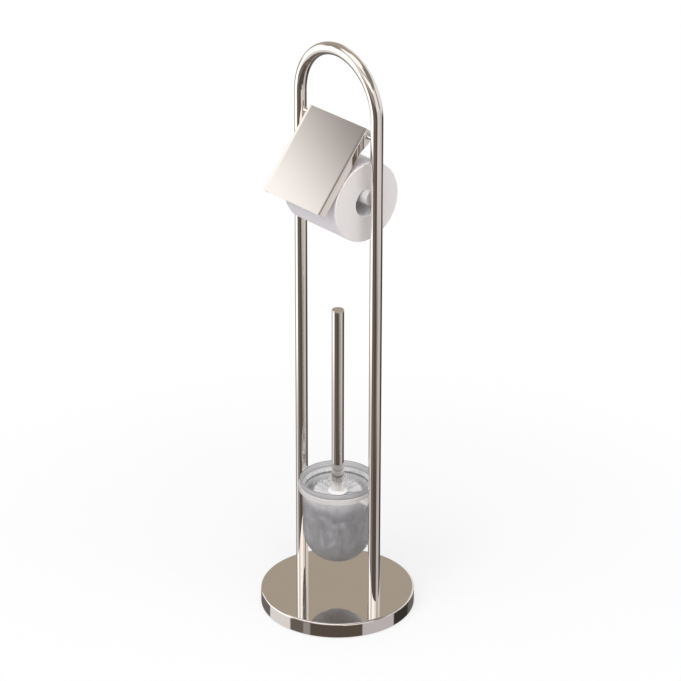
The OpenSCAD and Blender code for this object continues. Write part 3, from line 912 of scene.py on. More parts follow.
def bar_surface(sizes, outer, side, rows=32):
    """A bar from inside the ring to a leg, as rows of a rounded rectangle. Its half width flares with the
    cube of the way left to the leg, and once more where it is welded to the leg."""
    in_leg = 0.9
    in_ring = 0.8
    weld_flare = 0.8
    end = sizes.leg_offset - sizes.tube_radius * in_leg
    start = outer - sizes.ring_wall * in_ring
    out = np.linspace(0, 1, rows)[:, None]
    x = start + (end - start) * out
    half = sizes.lug_width / 2 + (sizes.lug_root - sizes.lug_width) / 2 * (1 - out) ** 3
    near_leg = np.clip((x - (sizes.leg_offset - sizes.tube_radius - sizes.weld)) / sizes.weld, 0, 1)
    half = half + sizes.weld * weld_flare * near_leg**2
    bottom = low("holder_ring")[2]
    top = bottom + sizes.lug_height
    edge = sizes.ring_edge
    corners = [(-1, bottom, edge), (1, bottom, edge), (1, top, edge), (-1, top, edge)]
    section = closed_path(corners, steps=5)
    y = section[None, :, 0] + np.sign(section[None, :, 0]) * (half - 1)
    rows = np.stack([side * x + 0 * y, y, section[None, :, 1] + 0 * y], axis=-1)
    ends = rows.mean(axis=1, keepdims=True) + 0 * rows
    return np.concatenate([ends[:1], rows, ends[-1:]])


class BUTLER_OT_frame(bpy.types.Operator):
    """Bent tube, ring with its bars, hinge rod and the rod's sleeves"""

    bl_idname = "butler.frame"
    bl_label = "Frame"

    def execute(self, context):
        """Adds the pieces."""
        sizes = context.scene.butler_frame
        points, faces = tube_mesh(sizes, low("frame_tube")[2])
        dress(add_mesh("bent_tube", points, faces), nickel, "stand", ["frame_tube"])
        outer = span("holder_ring")[1] / 2
        ends = low("holder_ring")[2], high("holder_ring")[2]
        profile = bush_profile(outer, outer - sizes.ring_wall, *ends, sizes.ring_edge)
        band = turned(profile, segments=160)
        bars = [(bar_surface(sizes, outer, side), False, True) for side in (-1, 1)]
        add_grids("cup_ring", [(band, True, True), *bars], coating, "stand", ["holder_ring"])
        end = span("hinge_rod")[0] / 2
        radius = span("hinge_rod")[1] / 2
        edge = 0.3 * MM
        bar = rounded_path([(0, -end, 0), (radius, -end, edge), (radius, end, edge), (0, end, 0)])
        lie = {"axis": "X", "height": ROD_Z}
        add_turned("rod", bar, nickel, "stand", "hinge_rod", METAL, segments=48, closed=False, **lie)
        for side in ("left", "right"):
            node = "rod_sleeve_" + side
            profile = bush_profile(span(node)[1] / 2, sizes.rod_hole, low(node)[0], high(node)[0], edge)
            add_turned("sleeve_" + side, profile, nickel, "stand", node, METAL, segments=64, **lie)
        return {"FINISHED"}


# Pieces of the flap


def flap_lean(sizes):
    """How far the flap leans when the edge of its side lies on the roll."""
    reach = ROLL_RADIUS + sizes.gap + sizes.side - sizes.ahead
    return math.asin(reach / (ROD_Z - ROLL_Z))


def rear_edge(sizes, z, slope_turn=math.radians(20)):
    """How far behind the rod the flap's sides reach at a height: the largest of the ear's two circles, the
    slope that leaves the lower one at an angle below the level, and the side."""
    upper = np.sqrt(np.clip(sizes.ear**2 - z**2, 0, None))
    below = sizes.ear**2 - (z + sizes.ear_drop) ** 2
    lower = np.where(below > 0, sizes.ear_set + np.sqrt(np.clip(below, 0, None)), 0)
    side = sizes.side - sizes.ahead
    out = np.array([math.cos(slope_turn), -math.sin(slope_turn)])
    start = np.array([sizes.ear_set, -sizes.ear_drop]) + sizes.ear * out
    end = np.array([side / 2, -sizes.ear_tail])
    slope = end[0] + (start[0] - end[0]) * (z - end[1]) / (start[1] - end[1])
    slope = np.where(z < start[1], slope, 0)
    lowest = np.where(z > 0, 0, side)
    return np.maximum.reduce([upper, lower, slope, lowest])


def corner_lift(distance, radius):
    """Height of a round corner's edge at a distance from the corner's side."""
    inside = np.clip(radius - distance, 0, radius)
    return radius - np.sqrt(radius**2 - inside**2)


def mirrored(points):
    """Points of one half, from its edge to the middle, with the other half after them."""
    return np.hstack([points, points[:, -2::-1] * np.array([-1, 1, 1])])


def flap_surface(sizes, ear_rows=14, side_rows=30, fold_steps=9, side_steps=8, face_steps=14):
    """Closed shell of folded sheet. The middle of the sheet goes down one side, round a fold, across the
    face, round the other fold and back. The shell stands half a thickness off it, less near an edge, where
    the thickness follows a quarter circle."""
    t = sizes.thickness
    half_width = sizes.width / 2
    near_edge = np.array([0, 0.03, 0.1, 0.2, 0.3, 0.36]) * MM
    far = 1.0
    front = sizes.fold - sizes.ahead
    # Heights: close rows at both ends and round the ears
    top = sizes.over
    bottom = sizes.over - sizes.height
    past_slope = 1.2
    below_ears = -sizes.ear_tail * past_slope
    upper = top * np.cos(np.linspace(math.acos(1 - near_edge[-1] / top), np.pi / 2, ear_rows)[1:])
    lower = np.linspace(0, below_ears, side_rows)[1:]
    rest = np.linspace(below_ears, bottom + near_edge[-1], side_rows)[1:-1]
    nominal = np.concatenate([top - near_edge, upper, lower, rest, bottom + near_edge[::-1]])
    z = nominal[:, None]
    rear = rear_edge(sizes, z)
    # Across: one side from its rear edge to the fold, then the fold, and half of the face
    close = near_edge[None, :]
    share = np.linspace(1, 0, side_steps)[None, 1:]
    side_y = np.hstack([rear - close, front + (rear - close[:, -1:] - front) * share])
    side_x = np.full_like(side_y, half_width - t / 2)
    turn = np.radians(np.linspace(0, 90, fold_steps))[None, 1:]
    fold_x = half_width - sizes.fold + (sizes.fold - t / 2) * np.cos(turn) + 0 * z
    fold_y = front - (sizes.fold - t / 2) * np.sin(turn) + 0 * z
    face_x = (half_width - sizes.fold) * np.linspace(1, 0, face_steps)[None, 1:] + 0 * z
    face_y = np.full_like(face_x, t / 2 - sizes.ahead)
    x = np.hstack([side_x, fold_x, face_x])
    y = np.hstack([side_y, fold_y, face_y])
    out_x = np.hstack([np.ones_like(side_x), np.cos(turn) + 0 * z, np.zeros_like(face_x)])
    out_y = np.hstack([np.zeros_like(side_x), -np.sin(turn) + 0 * z, -np.ones_like(face_x)])
    from_rear = np.hstack([rear - side_y, np.full_like(fold_x, far), np.full_like(face_x, far)])
    # Round corners at the free end
    lift = corner_lift(half_width - x, sizes.corner)
    lift = np.maximum(lift, corner_lift(from_rear, sizes.corner))
    start = -sizes.ear_tail
    fall = np.clip((start - z) / (start - bottom), 0, 1)
    z = z + lift * fall
    from_end = np.minimum(top - nominal, nominal - bottom)[:, None] + 0 * z
    distance = np.minimum(from_end, from_rear)
    edge = sizes.edge
    half = t / 2 - edge + np.sqrt(edge**2 - np.clip(edge - distance, 0, edge) ** 2)
    half = half[..., None]
    middle = np.stack([x, y, z], axis=-1)
    out = np.stack([out_x, out_y, np.zeros_like(x)], axis=-1)
    # Each end closes on the middle of the sheet
    outer = mirrored(middle + half * out)
    inner = mirrored(middle - half * out)
    middle = mirrored(middle)
    loop = np.hstack([outer, inner[:, ::-1]])
    closing = np.hstack([middle, middle[:, ::-1]])
    return np.concatenate([closing[:1], loop, closing[-1:]])


def hang(points, lean):
    """Turns points about the rod by the flap's lean and moves them up to the rod."""
    y = points[..., 1] * math.cos(lean) + points[..., 2] * math.sin(lean)
    z = points[..., 2] * math.cos(lean) - points[..., 1] * math.sin(lean) + ROD_Z
    return np.stack([points[..., 0], y, z], axis=-1)


class BUTLER_OT_flap(bpy.types.Operator):
    """Folded flap and its two bushes"""

    bl_idname = "butler.flap"
    bl_label = "Flap"

    def execute(self, context):
        """Adds the pieces."""
        sizes = context.scene.butler_flap
        sheet = hang(flap_surface(sizes), flap_lean(sizes))
        add_grids("flap_sheet", [(sheet, False, True)], nickel, "flap", ["paper_flap"])
        rod_radius = span("hinge_rod")[1] / 2
        rod_gap = 0.05 * MM
        bush_wall = 1.2 * MM
        inside = rod_radius + rod_gap
        outside = inside + bush_wall
        inner_end = sizes.width / 2 - sizes.thickness
        seat = sizes.width / 2
        edge = 0.15 * MM
        for side, name in ((-1, "left"), (1, "right")):
            node = "hinge_bush_" + name
            rim = span(node)[1] / 2
            outer_end = np.abs([low(node)[0], high(node)[0]]).max()
            profile = closed_path(
                [
                    (inside, inner_end, edge),
                    (outside, inner_end, edge),
                    (outside, seat, 0),
                    (rim, seat, edge),
                    (rim, outer_end, edge),
                    (inside, outer_end, edge),
                ]
            )
            profile = profile * np.array([1, side])
            lie = {"segments": 64, "axis": "X", "height": ROD_Z}
            add_turned("bush_" + name, profile, moulded, "flap", node, "bush_nylon", **lie)
        return {"FINISHED"}


# Spindle and roll


def spring_surface(sizes, steps=24, sides=10):
    """Grid of the coil, with a number of steps a turn: rings of wire round a helix, each point at
    helix + wire * (cos a * out + sin a * along). Each end closes on the helix."""
    radius = span("spindle_spring")[1] / 2 - sizes.wire
    turn = np.linspace(0, 2 * np.pi * sizes.turns, steps * sizes.turns + 1)
    ends = low("spindle_spring")[0] + sizes.wire, high("spindle_spring")[0] - sizes.wire
    along = np.linspace(*ends, len(turn))
    out = np.stack([0 * turn, np.cos(turn), np.sin(turn)], axis=1)[:, None]
    helix = np.stack([along, 0 * turn, 0 * turn + SPINDLE_Z], axis=1)[:, None] + radius * out
    a = (np.arange(sides) * 2 * np.pi / sides)[None, :, None]
    rings = helix + sizes.wire * (np.cos(a) * out + np.sin(a) * np.array([1.0, 0, 0]))
    closing = helix + 0 * a
    return np.concatenate([closing[:1], rings, closing[-1:]])


class BUTLER_OT_spindle(bpy.types.Operator):
    """Two halves of the sprung spindle, and its spring"""

    bl_idname = "butler.spindle"
    bl_label = "Spindle"

    def execute(self, context):
        """Adds the pieces. Each half is a bar with a pin, turned in one profile with its hollow."""
        sizes = context.scene.butler_spindle
        edge = sizes.edge
        outer = span("spindle_outer")[1] / 2
        mouth = low("spindle_outer")[0]
        tip = high("spindle_outer")[0]
        leg_gap = 0.3 * MM
        slide_gap = 0.05 * MM
        line = 0.3 * MM
        pin = 3 * MM
        face = LEG_X - TUBE_RADIUS - leg_gap
        bore = outer - sizes.wall
        seat = face - sizes.end
        large = rounded_path(
            [
                (0, tip, 0),
                (pin, tip, edge),
                (pin, face, 0),
                (outer, face, edge),
                (outer, seat, 0),
                (outer - line, seat - line, 0),
                (outer, seat - 2 * line, 0),
                (outer, mouth, edge / 2),
                (bore, mouth, edge / 2),
                (bore, seat, 0),
                (0, seat, 0),
            ]
        )
        lie = {"segments": 96, "axis": "X", "height": SPINDLE_Z, "closed": False}
        plastic = "spindle_plastic"
        add_turned("spindle_large", large, moulded, "stand", "spindle_outer", plastic, **lie)
        slim = bore - slide_gap
        end = high("spindle_inner")[0] - sizes.spring_room
        far = low("spindle_inner")[0]
        small = rounded_path(
            [
                (0, far, 0),
                (pin, far, edge),
                (pin, -face, 0),
                (outer, -face, edge),
                (outer, -face + sizes.end, edge / 2),
                (slim, -face + sizes.end, 0),
                (slim, end, edge),
                (0, end, 0),
            ]
        )
        add_turned("spindle_small", small, moulded, "spindle_half", "spindle_inner", plastic, **lie)
        coil = [(spring_surface(sizes), False, True)]
        spring = add_grids("spring", coil, steel, "stand", ["spindle_spring"], crease=80.0)
        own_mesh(spring)
        return {"FINISHED"}


def roll_surface(sizes, segments=400, side_rows=110, end_rows=60, rim_steps=8):
    """Closed surface of the paper. Round the outside the radius is the roll's, less an embossed quilt of
    crossing waves and less a ply that grows from one end of the outermost sheet to the other. On the ends
    the place along the axis waves with the radius, as wound edges do."""
    half = span("paper_roll")[0] / 2
    bore = high("roll_core")[2] - ROLL_Z
    edge = sizes.edge
    side_fade = 2 * MM
    end_soft = 1.5 * MM
    crossing = 0.35
    swing = 0.4
    slow_swing = 0.25
    turn = once_round(segments)[None, :]
    # Outside, with its quilt
    repeats = round(2 * np.pi * sizes.radius / sizes.quilt)
    along = np.linspace(-half + edge, half - edge, side_rows)[:, None]
    quilt = np.cos(2 * np.pi * along / sizes.quilt) * np.cos(repeats * turn)
    quilt = quilt + crossing * np.cos(np.pi * along / sizes.quilt + repeats / 2 * turn)
    fade = np.clip((half - edge - np.abs(along)) / side_fade, 0, 1)
    ply = sizes.ply * ((turn - sizes.free_end) % (2 * np.pi)) / (2 * np.pi)
    outside = sizes.radius - sizes.quilt_depth * (0.5 + swing * quilt) * fade - ply
    side_x = along + 0 * turn
    # Round rim
    steps = np.radians(np.linspace(90, 0, rim_steps))[1:, None]
    rim_radius = sizes.radius - edge + edge * np.sin(steps) - ply
    rim_x = half - edge + edge * np.cos(steps) + 0 * turn
    # End, where rings and slow swells sink into the paper
    reach = np.linspace(sizes.radius - edge, bore, end_rows)[1:, None]

    def swell(arms, twist):
        """A wave with a number of arms round the end, twisted by radians a metre outwards."""
        return np.sin(arms * turn + reach * twist)

    wander = 0.7 * swell(3, 900) + 0.5 * swell(5, -400)
    wave = np.sin(2 * np.pi * reach / sizes.wind_pitch + wander)
    slow = swell(2, 260) + swell(1, -150)
    sink = sizes.wind_depth * (0.5 + 0.5 * wave) + sizes.wind_depth * (0.5 + slow_swing * slow)
    end_fade = np.clip((sizes.radius - edge - reach) / end_soft, 0, 1)
    end_radius = reach - ply * (reach - bore) / (sizes.radius - bore)
    end_x = half - sink * end_fade
    radius = np.vstack([end_radius[::-1], rim_radius[::-1], outside, rim_radius, end_radius])
    x = np.vstack([-end_x[::-1], -rim_x[::-1], side_x, rim_x, end_x])
    return round_x(x, radius)


def round_x(x, radius):
    """Points (x, radius cos a, radius sin a) round the roll's axis, one angle a for each column."""
    turn = once_round(x.shape[1])[None, :]
    radius = radius + 0 * turn
    return np.stack([x + ROLL_X, radius * np.cos(turn), radius * np.sin(turn) + ROLL_Z], axis=-1)


def core_surface(sizes, segments=160, rows=90):
    """Tube of card. Its bore is a hair deeper along a spiral seam."""
    end_gap = 0.15 * MM
    side_gap = 0.02 * MM
    seam_half = 0.5 * MM
    seam_depth = 0.15 * MM
    fine = 0.2 * MM
    half = span("roll_core")[0] / 2 - end_gap
    outer = high("roll_core")[2] - ROLL_Z - side_gap
    inner = outer - sizes.core_wall
    turn = once_round(segments)[None, :]
    along = np.linspace(half, -half, rows)[:, None]
    phase = (turn - 2 * np.pi * along / sizes.seam_pitch) % (2 * np.pi)
    seam = np.exp(-(((phase - np.pi) * inner / seam_half) ** 2)) * seam_depth
    wall = [[outer, -half + fine], [outer, half - fine], [outer - fine, half], [inner + fine, half]]
    wall = np.array(wall)
    tail = np.array([[inner + fine, -half], [outer - fine, -half]])
    radius = np.vstack([wall[:, :1] + 0 * turn, inner + seam, tail[:, :1] + 0 * turn])
    x = np.vstack([wall[:, 1:] + 0 * turn, along + 0 * turn, tail[:, 1:] + 0 * turn])
    return round_x(x, radius)


class BUTLER_OT_roll(bpy.types.Operator):
    """Paper roll and its core"""

    bl_idname = "butler.roll"
    bl_label = "Paper roll"

    def execute(self, context):
        """Adds both pieces."""
        sizes = context.scene.butler_roll
        paper = [(roll_surface(sizes), True, True)]
        add_grids("paper", paper, tissue, "roll", ["paper_roll"], crease=60.0)
        core = [(core_surface(sizes), True, True)]
        add_grids("card_tube", core, card, "roll", ["roll_core"], crease=50.0)
        return {"FINISHED"}


# Cup


def body_radius(sizes):
    """Radius of the cup's body."""
    return span("glass_cup")[0] / 2 - sizes.lip_out


def groove_middle():
    """Height of the groove in the bore."""
    return low("holder_ring")[2] + 0.5 * MM


def cup_profile(sizes, ball_steps=40, throat_steps=20, groove_steps=17):
    """Profile of the cup: a ball end, a straight body, a lip with a seat, and the bore inside, which widens
    to the mouth in one smooth curve."""
    body = body_radius(sizes)
    bore = body - sizes.wall
    middle = CUP_BOTTOM + body
    seat = CUP_TOP - sizes.lip_height
    lip = body + sizes.lip_out
    mouth = bore + sizes.mouth_flare
    straight = 0.6
    almost_half = 0.49
    mouth_end = CUP_TOP - sizes.lip_height * straight
    outside = arc_path((0, middle), body, -90, 0, ball_steps)
    soft = (lip - mouth) * almost_half
    neck_edge = 0.3 * MM
    lip_edge = 0.9 * MM
    rim = rounded_path(
        [
            (body, middle, 0),
            (body, seat - neck_edge, neck_edge),
            (lip, seat, lip_edge),
            (lip, CUP_TOP, soft),
            (mouth, CUP_TOP, soft),
            (mouth, mouth_end, 0),
        ],
        steps=8,
    )[1:]
    share = np.linspace(0, 1, throat_steps)[1:, None]
    ease = share * share * (3 - 2 * share)
    throat = np.hstack([mouth - (mouth - bore) * ease, mouth_end - sizes.throat_rise * share])
    half = sizes.groove_height / 2
    wave = np.linspace(np.pi, -np.pi, groove_steps)
    depth = sizes.groove * (0.5 + 0.5 * np.cos(wave))
    groove = np.stack([bore + depth, groove_middle() + half * wave / np.pi], axis=1)
    inside = arc_path((0, middle), bore, 0, -90, ball_steps)
    return np.vstack([outside, rim, throat, groove, inside])


class BUTLER_OT_cup(bpy.types.Operator):
    """Frosted glass cup"""

    bl_idname = "butler.cup"
    bl_label = "Cup"

    def execute(self, context):
        """Adds the cup."""
        profile = cup_profile(context.scene.butler_cup)
        add_turned("cup", profile, frosted, "cup", "glass_cup", "frosted_glass", segments=160, closed=False)
        return {"FINISHED"}


# Brush


def handle_profile(sizes, bevel=0.25 * MM):
    """Closed wall of the handle tube, with a fine bevel at both ends."""
    inner = sizes.handle_radius - sizes.handle_wall
    start = low("handle_tube")[2] + sizes.joint
    return bush_profile(sizes.handle_radius, inner, start, high("handle_tube")[2], bevel)


def cap_profile(sizes):
    """Flat cap with a round edge, and its plug in the tube."""
    top = high("handle_cap")[2]
    seat = high("handle_tube")[2] + sizes.joint
    plug_gap = 0.02 * MM
    seat_edge = 0.15 * MM
    plug_edge = 0.4 * MM
    plug = sizes.handle_radius - sizes.handle_wall - plug_gap
    bottom = low("handle_cap")[2]
    return rounded_path(
        [
            (0, top, 0),
            (sizes.handle_radius, top, sizes.cap_edge),
            (sizes.handle_radius, seat, seat_edge),
            (plug, seat, 0),
            (plug, bottom, plug_edge),
            (0, bottom, 0),
        ]
    )


def collar_profile(sizes, bevel=0.12 * MM):
    """Closed wall of the collar, with a fine bevel at both ends."""
    inner = sizes.collar_radius - sizes.handle_wall * 2
    return bush_profile(sizes.collar_radius, inner, low("head_collar")[2], high("head_collar")[2], bevel)


def core_profile(sizes, ball_steps=16):
    """Profile of the core that carries the tufts: a capsule below, and a disc on top with a low boss round
    the collar's foot."""
    bottom = low("head_stem")[2]
    top = low("head_collar")[2]
    ball = arc_path((0, bottom), sizes.sleeve_radius, -90, 0, ball_steps)
    disc = span("head_stem")[0] / 2
    under = top - sizes.disc
    disc_edge = 0.5 * MM
    fine_edge = 0.2 * MM
    dish = 0.3 * MM
    boss_height = 1.2 * MM
    boss_top = top + boss_height
    boss_edge = 0.4 * MM
    boss_foot_out = 2.2 * MM
    boss_top_out = 1.7 * MM
    collar_gap = 0.02 * MM
    hole = sizes.collar_radius + collar_gap
    rest = rounded_path(
        [
            (sizes.sleeve_radius, bottom, 0),
            (sizes.sleeve_radius, under, fine_edge),
            (disc, under, disc_edge),
            (disc, top - dish, disc_edge),
            (sizes.collar_radius + boss_foot_out, top, fine_edge),
            (sizes.collar_radius + boss_top_out, boss_top, boss_edge),
            (hole, boss_top, 0),
            (hole, top, 0),
            (0, top, 0),
        ]
    )[1:]
    return np.vstack([ball, rest])


# Room above the level rows of tufts. Then each row that climbs: its angle in degrees, its root's depth
# under the disc in millimetres, and its share of the head's radius. Last, the angles of the ball's rows.
ROOM_ABOVE = 11 * MM
CLIMBING_ROWS = ((3, 8.2, 1.0), (6, 6.4, 0.99), (9, 4.8, 0.97), (12, 3.4, 0.93))
BALL_ROWS = (14, 28, 42, 56, 70)


def tuft_places(sizes, fewest=4):
    """Root, direction and length of each tuft. Rows on the side stand level, rows near the top climb, and
    rows on the ball end point away from its centre. Every other row is turned by half a tuft."""
    bottom = low("head_stem")[2]
    top = low("head_collar")[2]
    rows = []
    for height in np.linspace(bottom, top - ROOM_ABOVE, sizes.tuft_rows):
        rows.append((height, 0.0, sizes.reach, sizes.tufts_around))
    for climb, drop, share in CLIMBING_ROWS:
        rows.append((top - drop * MM, math.radians(climb), sizes.reach * share, sizes.tufts_around))
    for sink in BALL_ROWS:
        share = math.cos(math.radians(sink))
        around = max(fewest, round(sizes.tufts_around * share))
        rows.append((bottom, -math.radians(sink), sizes.reach, around))
    roots = []
    directions = []
    lengths = []
    for number, (height, climb, reach, around) in enumerate(rows):
        turn = (np.arange(around) + number % 2 / 2) * 2 * np.pi / around
        level = math.cos(climb)
        rise = np.full(around, math.sin(climb))
        direction = np.stack([np.cos(turn) * level, np.sin(turn) * level, rise], axis=1)
        if climb < 0:
            root = direction * sizes.sleeve_radius
            size = reach - sizes.sleeve_radius
        else:
            root = np.stack([np.cos(turn), np.sin(turn), 0 * turn], axis=1) * sizes.sleeve_radius
            size = (reach - sizes.sleeve_radius) / level
        root[:, 2] += height
        roots.append(root)
        directions.append(direction)
        lengths.append(np.full(around, size))
    # The last tuft points straight down
    roots.append(np.array([[0, 0, bottom - sizes.sleeve_radius]]))
    directions.append(np.array([[0, 0, -1.0]]))
    lengths.append(np.array([sizes.reach - sizes.sleeve_radius]))
    return np.vstack(roots), np.vstack(directions), np.concatenate(lengths)


def normed(vectors):
    """Rows of vectors, each brought to length 1."""
    return vectors / np.linalg.norm(vectors, axis=1)[:, None]


def bristle_mesh(sizes, steps=3, sides=3, seed=11):
    """All strands at once. A strand starts beside its tuft's root, leans away from the tuft's line, and
    bends a little: place = root + length * (s * direction + s * s * bend). Its sides taper to a point."""
    shortest = 0.93
    beside = 0.9 * MM
    sunk = 0.8 * MM
    top_lean = 0.06
    side_lean = 0.17
    wild = 0.022
    curl = 0.03
    flatness = 0.45
    taper = 0.45
    level = 0.01
    # Any direction that no strand points in gives each strand its width
    aside = np.array([0.3, 0.2, 0.93])
    # A strand is flatter than wide, with one face on top
    first_corner = 0.75
    draw = np.random.default_rng(seed)
    root, direction, size = tuft_places(sizes)
    total = len(root) * sizes.strands
    root = np.repeat(root, sizes.strands, axis=0)
    direction = np.repeat(direction, sizes.strands, axis=0)
    size = np.repeat(size, sizes.strands) * draw.uniform(shortest, 1.0, total)
    lean = draw.normal(0, 1, (total, 3))
    lean -= (lean * direction).sum(1)[:, None] * direction
    spread = np.sqrt(draw.uniform(0, 1, total))[:, None]
    lean = normed(lean) * spread
    root = root + lean * beside - direction * sunk
    climbs = direction[:, 2:] > level
    heading = normed(direction + lean * np.where(climbs, top_lean, side_lean))
    bend = draw.normal(0, wild, (total, 3)) + lean * curl
    share = np.linspace(0, 1, steps + 1)[None, :, None]
    reach = size[:, None, None] + sunk
    line = root[:, None] + reach * (share * heading[:, None] + share**2 * bend[:, None])
    across = normed(np.cross(heading, aside))
    down = np.cross(heading, across)
    turn = ((np.arange(sides) + first_corner) * 2 * np.pi / sides)[None, :, None]
    ring = np.cos(turn) * across[:, None] + flatness * np.sin(turn) * down[:, None]
    thick = sizes.bristle * (1 - taper * share[..., None])
    points = line[:, :, None] + thick * ring[:, None]
    index = np.arange(total * (steps + 1) * sides).reshape(total, steps + 1, sides)
    nearby = np.roll(index, -1, axis=2)
    corners = (index[:, :-1], nearby[:, :-1], nearby[:, 1:], index[:, 1:])
    walls = np.stack(corners, axis=-1).reshape(-1, 4).tolist()
    starts = index[:, 0, ::-1].tolist()
    ends = index[:, -1].tolist()
    return points.reshape(-1, 3), walls + starts + ends


class BUTLER_OT_brush(bpy.types.Operator):
    """Handle, cap, collar, core and bristles"""

    bl_idname = "butler.brush"
    bl_label = "Brush"

    def execute(self, context):
        """Adds the pieces."""
        sizes = context.scene.butler_brush
        add_turned("handle", handle_profile(sizes), nickel, "brush", "handle_tube", METAL)
        add_turned("handle_end", cap_profile(sizes), nickel, "brush", "handle_cap", METAL, closed=False)
        add_turned("collar", collar_profile(sizes), nickel, "brush", "head_collar", METAL)
        core = core_profile(sizes)
        flat = {"segments": 64, "closed": False}
        add_turned("tuft_core", core, filament, "brush", "head_stem", "stem_plastic", **flat)
        points, faces = bristle_mesh(sizes)
        strands = add_mesh("strands", points, faces, crease=80.0)
        dress(strands, filament, "brush", ["bristles"])
        return {"FINISHED"}


# Hidden pieces that keep the frame's own shapes

LEG_FIXINGS = [f"leg_{kind}_{side}" for kind in ("plug", "screw", "washer") for side in ("left", "right")]
HIDDEN = {
    casting: ["base_weight"],
    steel: [*LEG_FIXINGS, "handle_plug", "head_stud"],
}


class BUTLER_OT_hidden(bpy.types.Operator):
    """Finishes of the weight, the leg fixings, the handle's plug and the stud"""

    bl_idname = "butler.hidden"
    bl_label = "Hidden pieces"

    def execute(self, context):
        """Gives the frame's own nodes their materials."""
        for finish, nodes in HIDDEN.items():
            for node in nodes:
                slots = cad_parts[node].data.materials
                slots.clear()
                slots.append(material(finish.__name__, finish))
        return {"FINISHED"}


# Stage


def view_axes(sizes):
    """Directions to the camera, to its right, and towards the camera on the level."""
    a = sizes.azimuth
    e = sizes.elevation
    back = np.array([math.sin(a) * math.cos(e), -math.cos(a) * math.cos(e), math.sin(e)])
    right = np.array([math.cos(a), math.sin(a), 0.0])
    front = np.array([math.sin(a), -math.cos(a), 0.0])
    return back, right, front


# Width of the camera's sensor in millimetres, and how far the camera sees in metres
SENSOR = 36.0
FARTHEST = 100.0


def add_camera(sizes):
    """The camera, at the angle of the photograph."""
    back, right, _ = view_axes(sizes)
    aim = right * sizes.aim_right + np.array([0, 0, sizes.aim_up])
    data = bpy.data.cameras.new("camera")
    data.sensor_width = SENSOR
    data.lens = sizes.focal / MM
    camera = bpy.data.objects.new("camera", data)
    camera.location = Vector(aim + back * sizes.distance)
    turn = Vector(-back).to_track_quat("-Z", "Y") @ Quaternion((0, 0, 1), sizes.roll)
    camera.rotation_euler = turn.to_euler()
    data.clip_end = FARTHEST
    bpy.context.scene.collection.objects.link(camera)
    bpy.context.scene.camera = camera


class Studio:
    """What a direction shows in polished metal: walls, a dark floor and bright cards, by angle from the
    camera's side and by height, both in degrees."""

    def __init__(self, graph, right, front):
        self.graph = graph
        way = graph.add("ShaderNodeTexCoord", output="Generated")
        height = graph.parts(way)[2]
        turn = graph.along(way, tuple(right)).arctan2(graph.along(way, tuple(front)))
        self.turn = turn * math.degrees(1)
        self.rise = height.arcsine() * math.degrees(1)
        self.colour = None

    def start(self, floor, wall, horizon, soft):
        """Two colours that meet at a height."""
        factor = self.rise.rise(horizon - soft, horizon + soft)
        self.colour = self.graph.mix(factor, floor, wall)

    def card(self, tone, sides, ends, soft):
        """A card between two angles and two heights. Soft holds the half widths of its soft edges, in the
        order left, right, bottom, top."""
        mask = self.turn.rise(sides[0] - soft[0], sides[0] + soft[0])
        mask = mask * (1.0 - self.turn.rise(sides[1] - soft[1], sides[1] + soft[1]))
        mask = mask * self.rise.rise(ends[0] - soft[2], ends[0] + soft[2])
        mask = mask * (1.0 - self.rise.rise(ends[1] - soft[3], ends[1] + soft[3]))
        self.colour = self.graph.mix(mask, self.colour, tone)


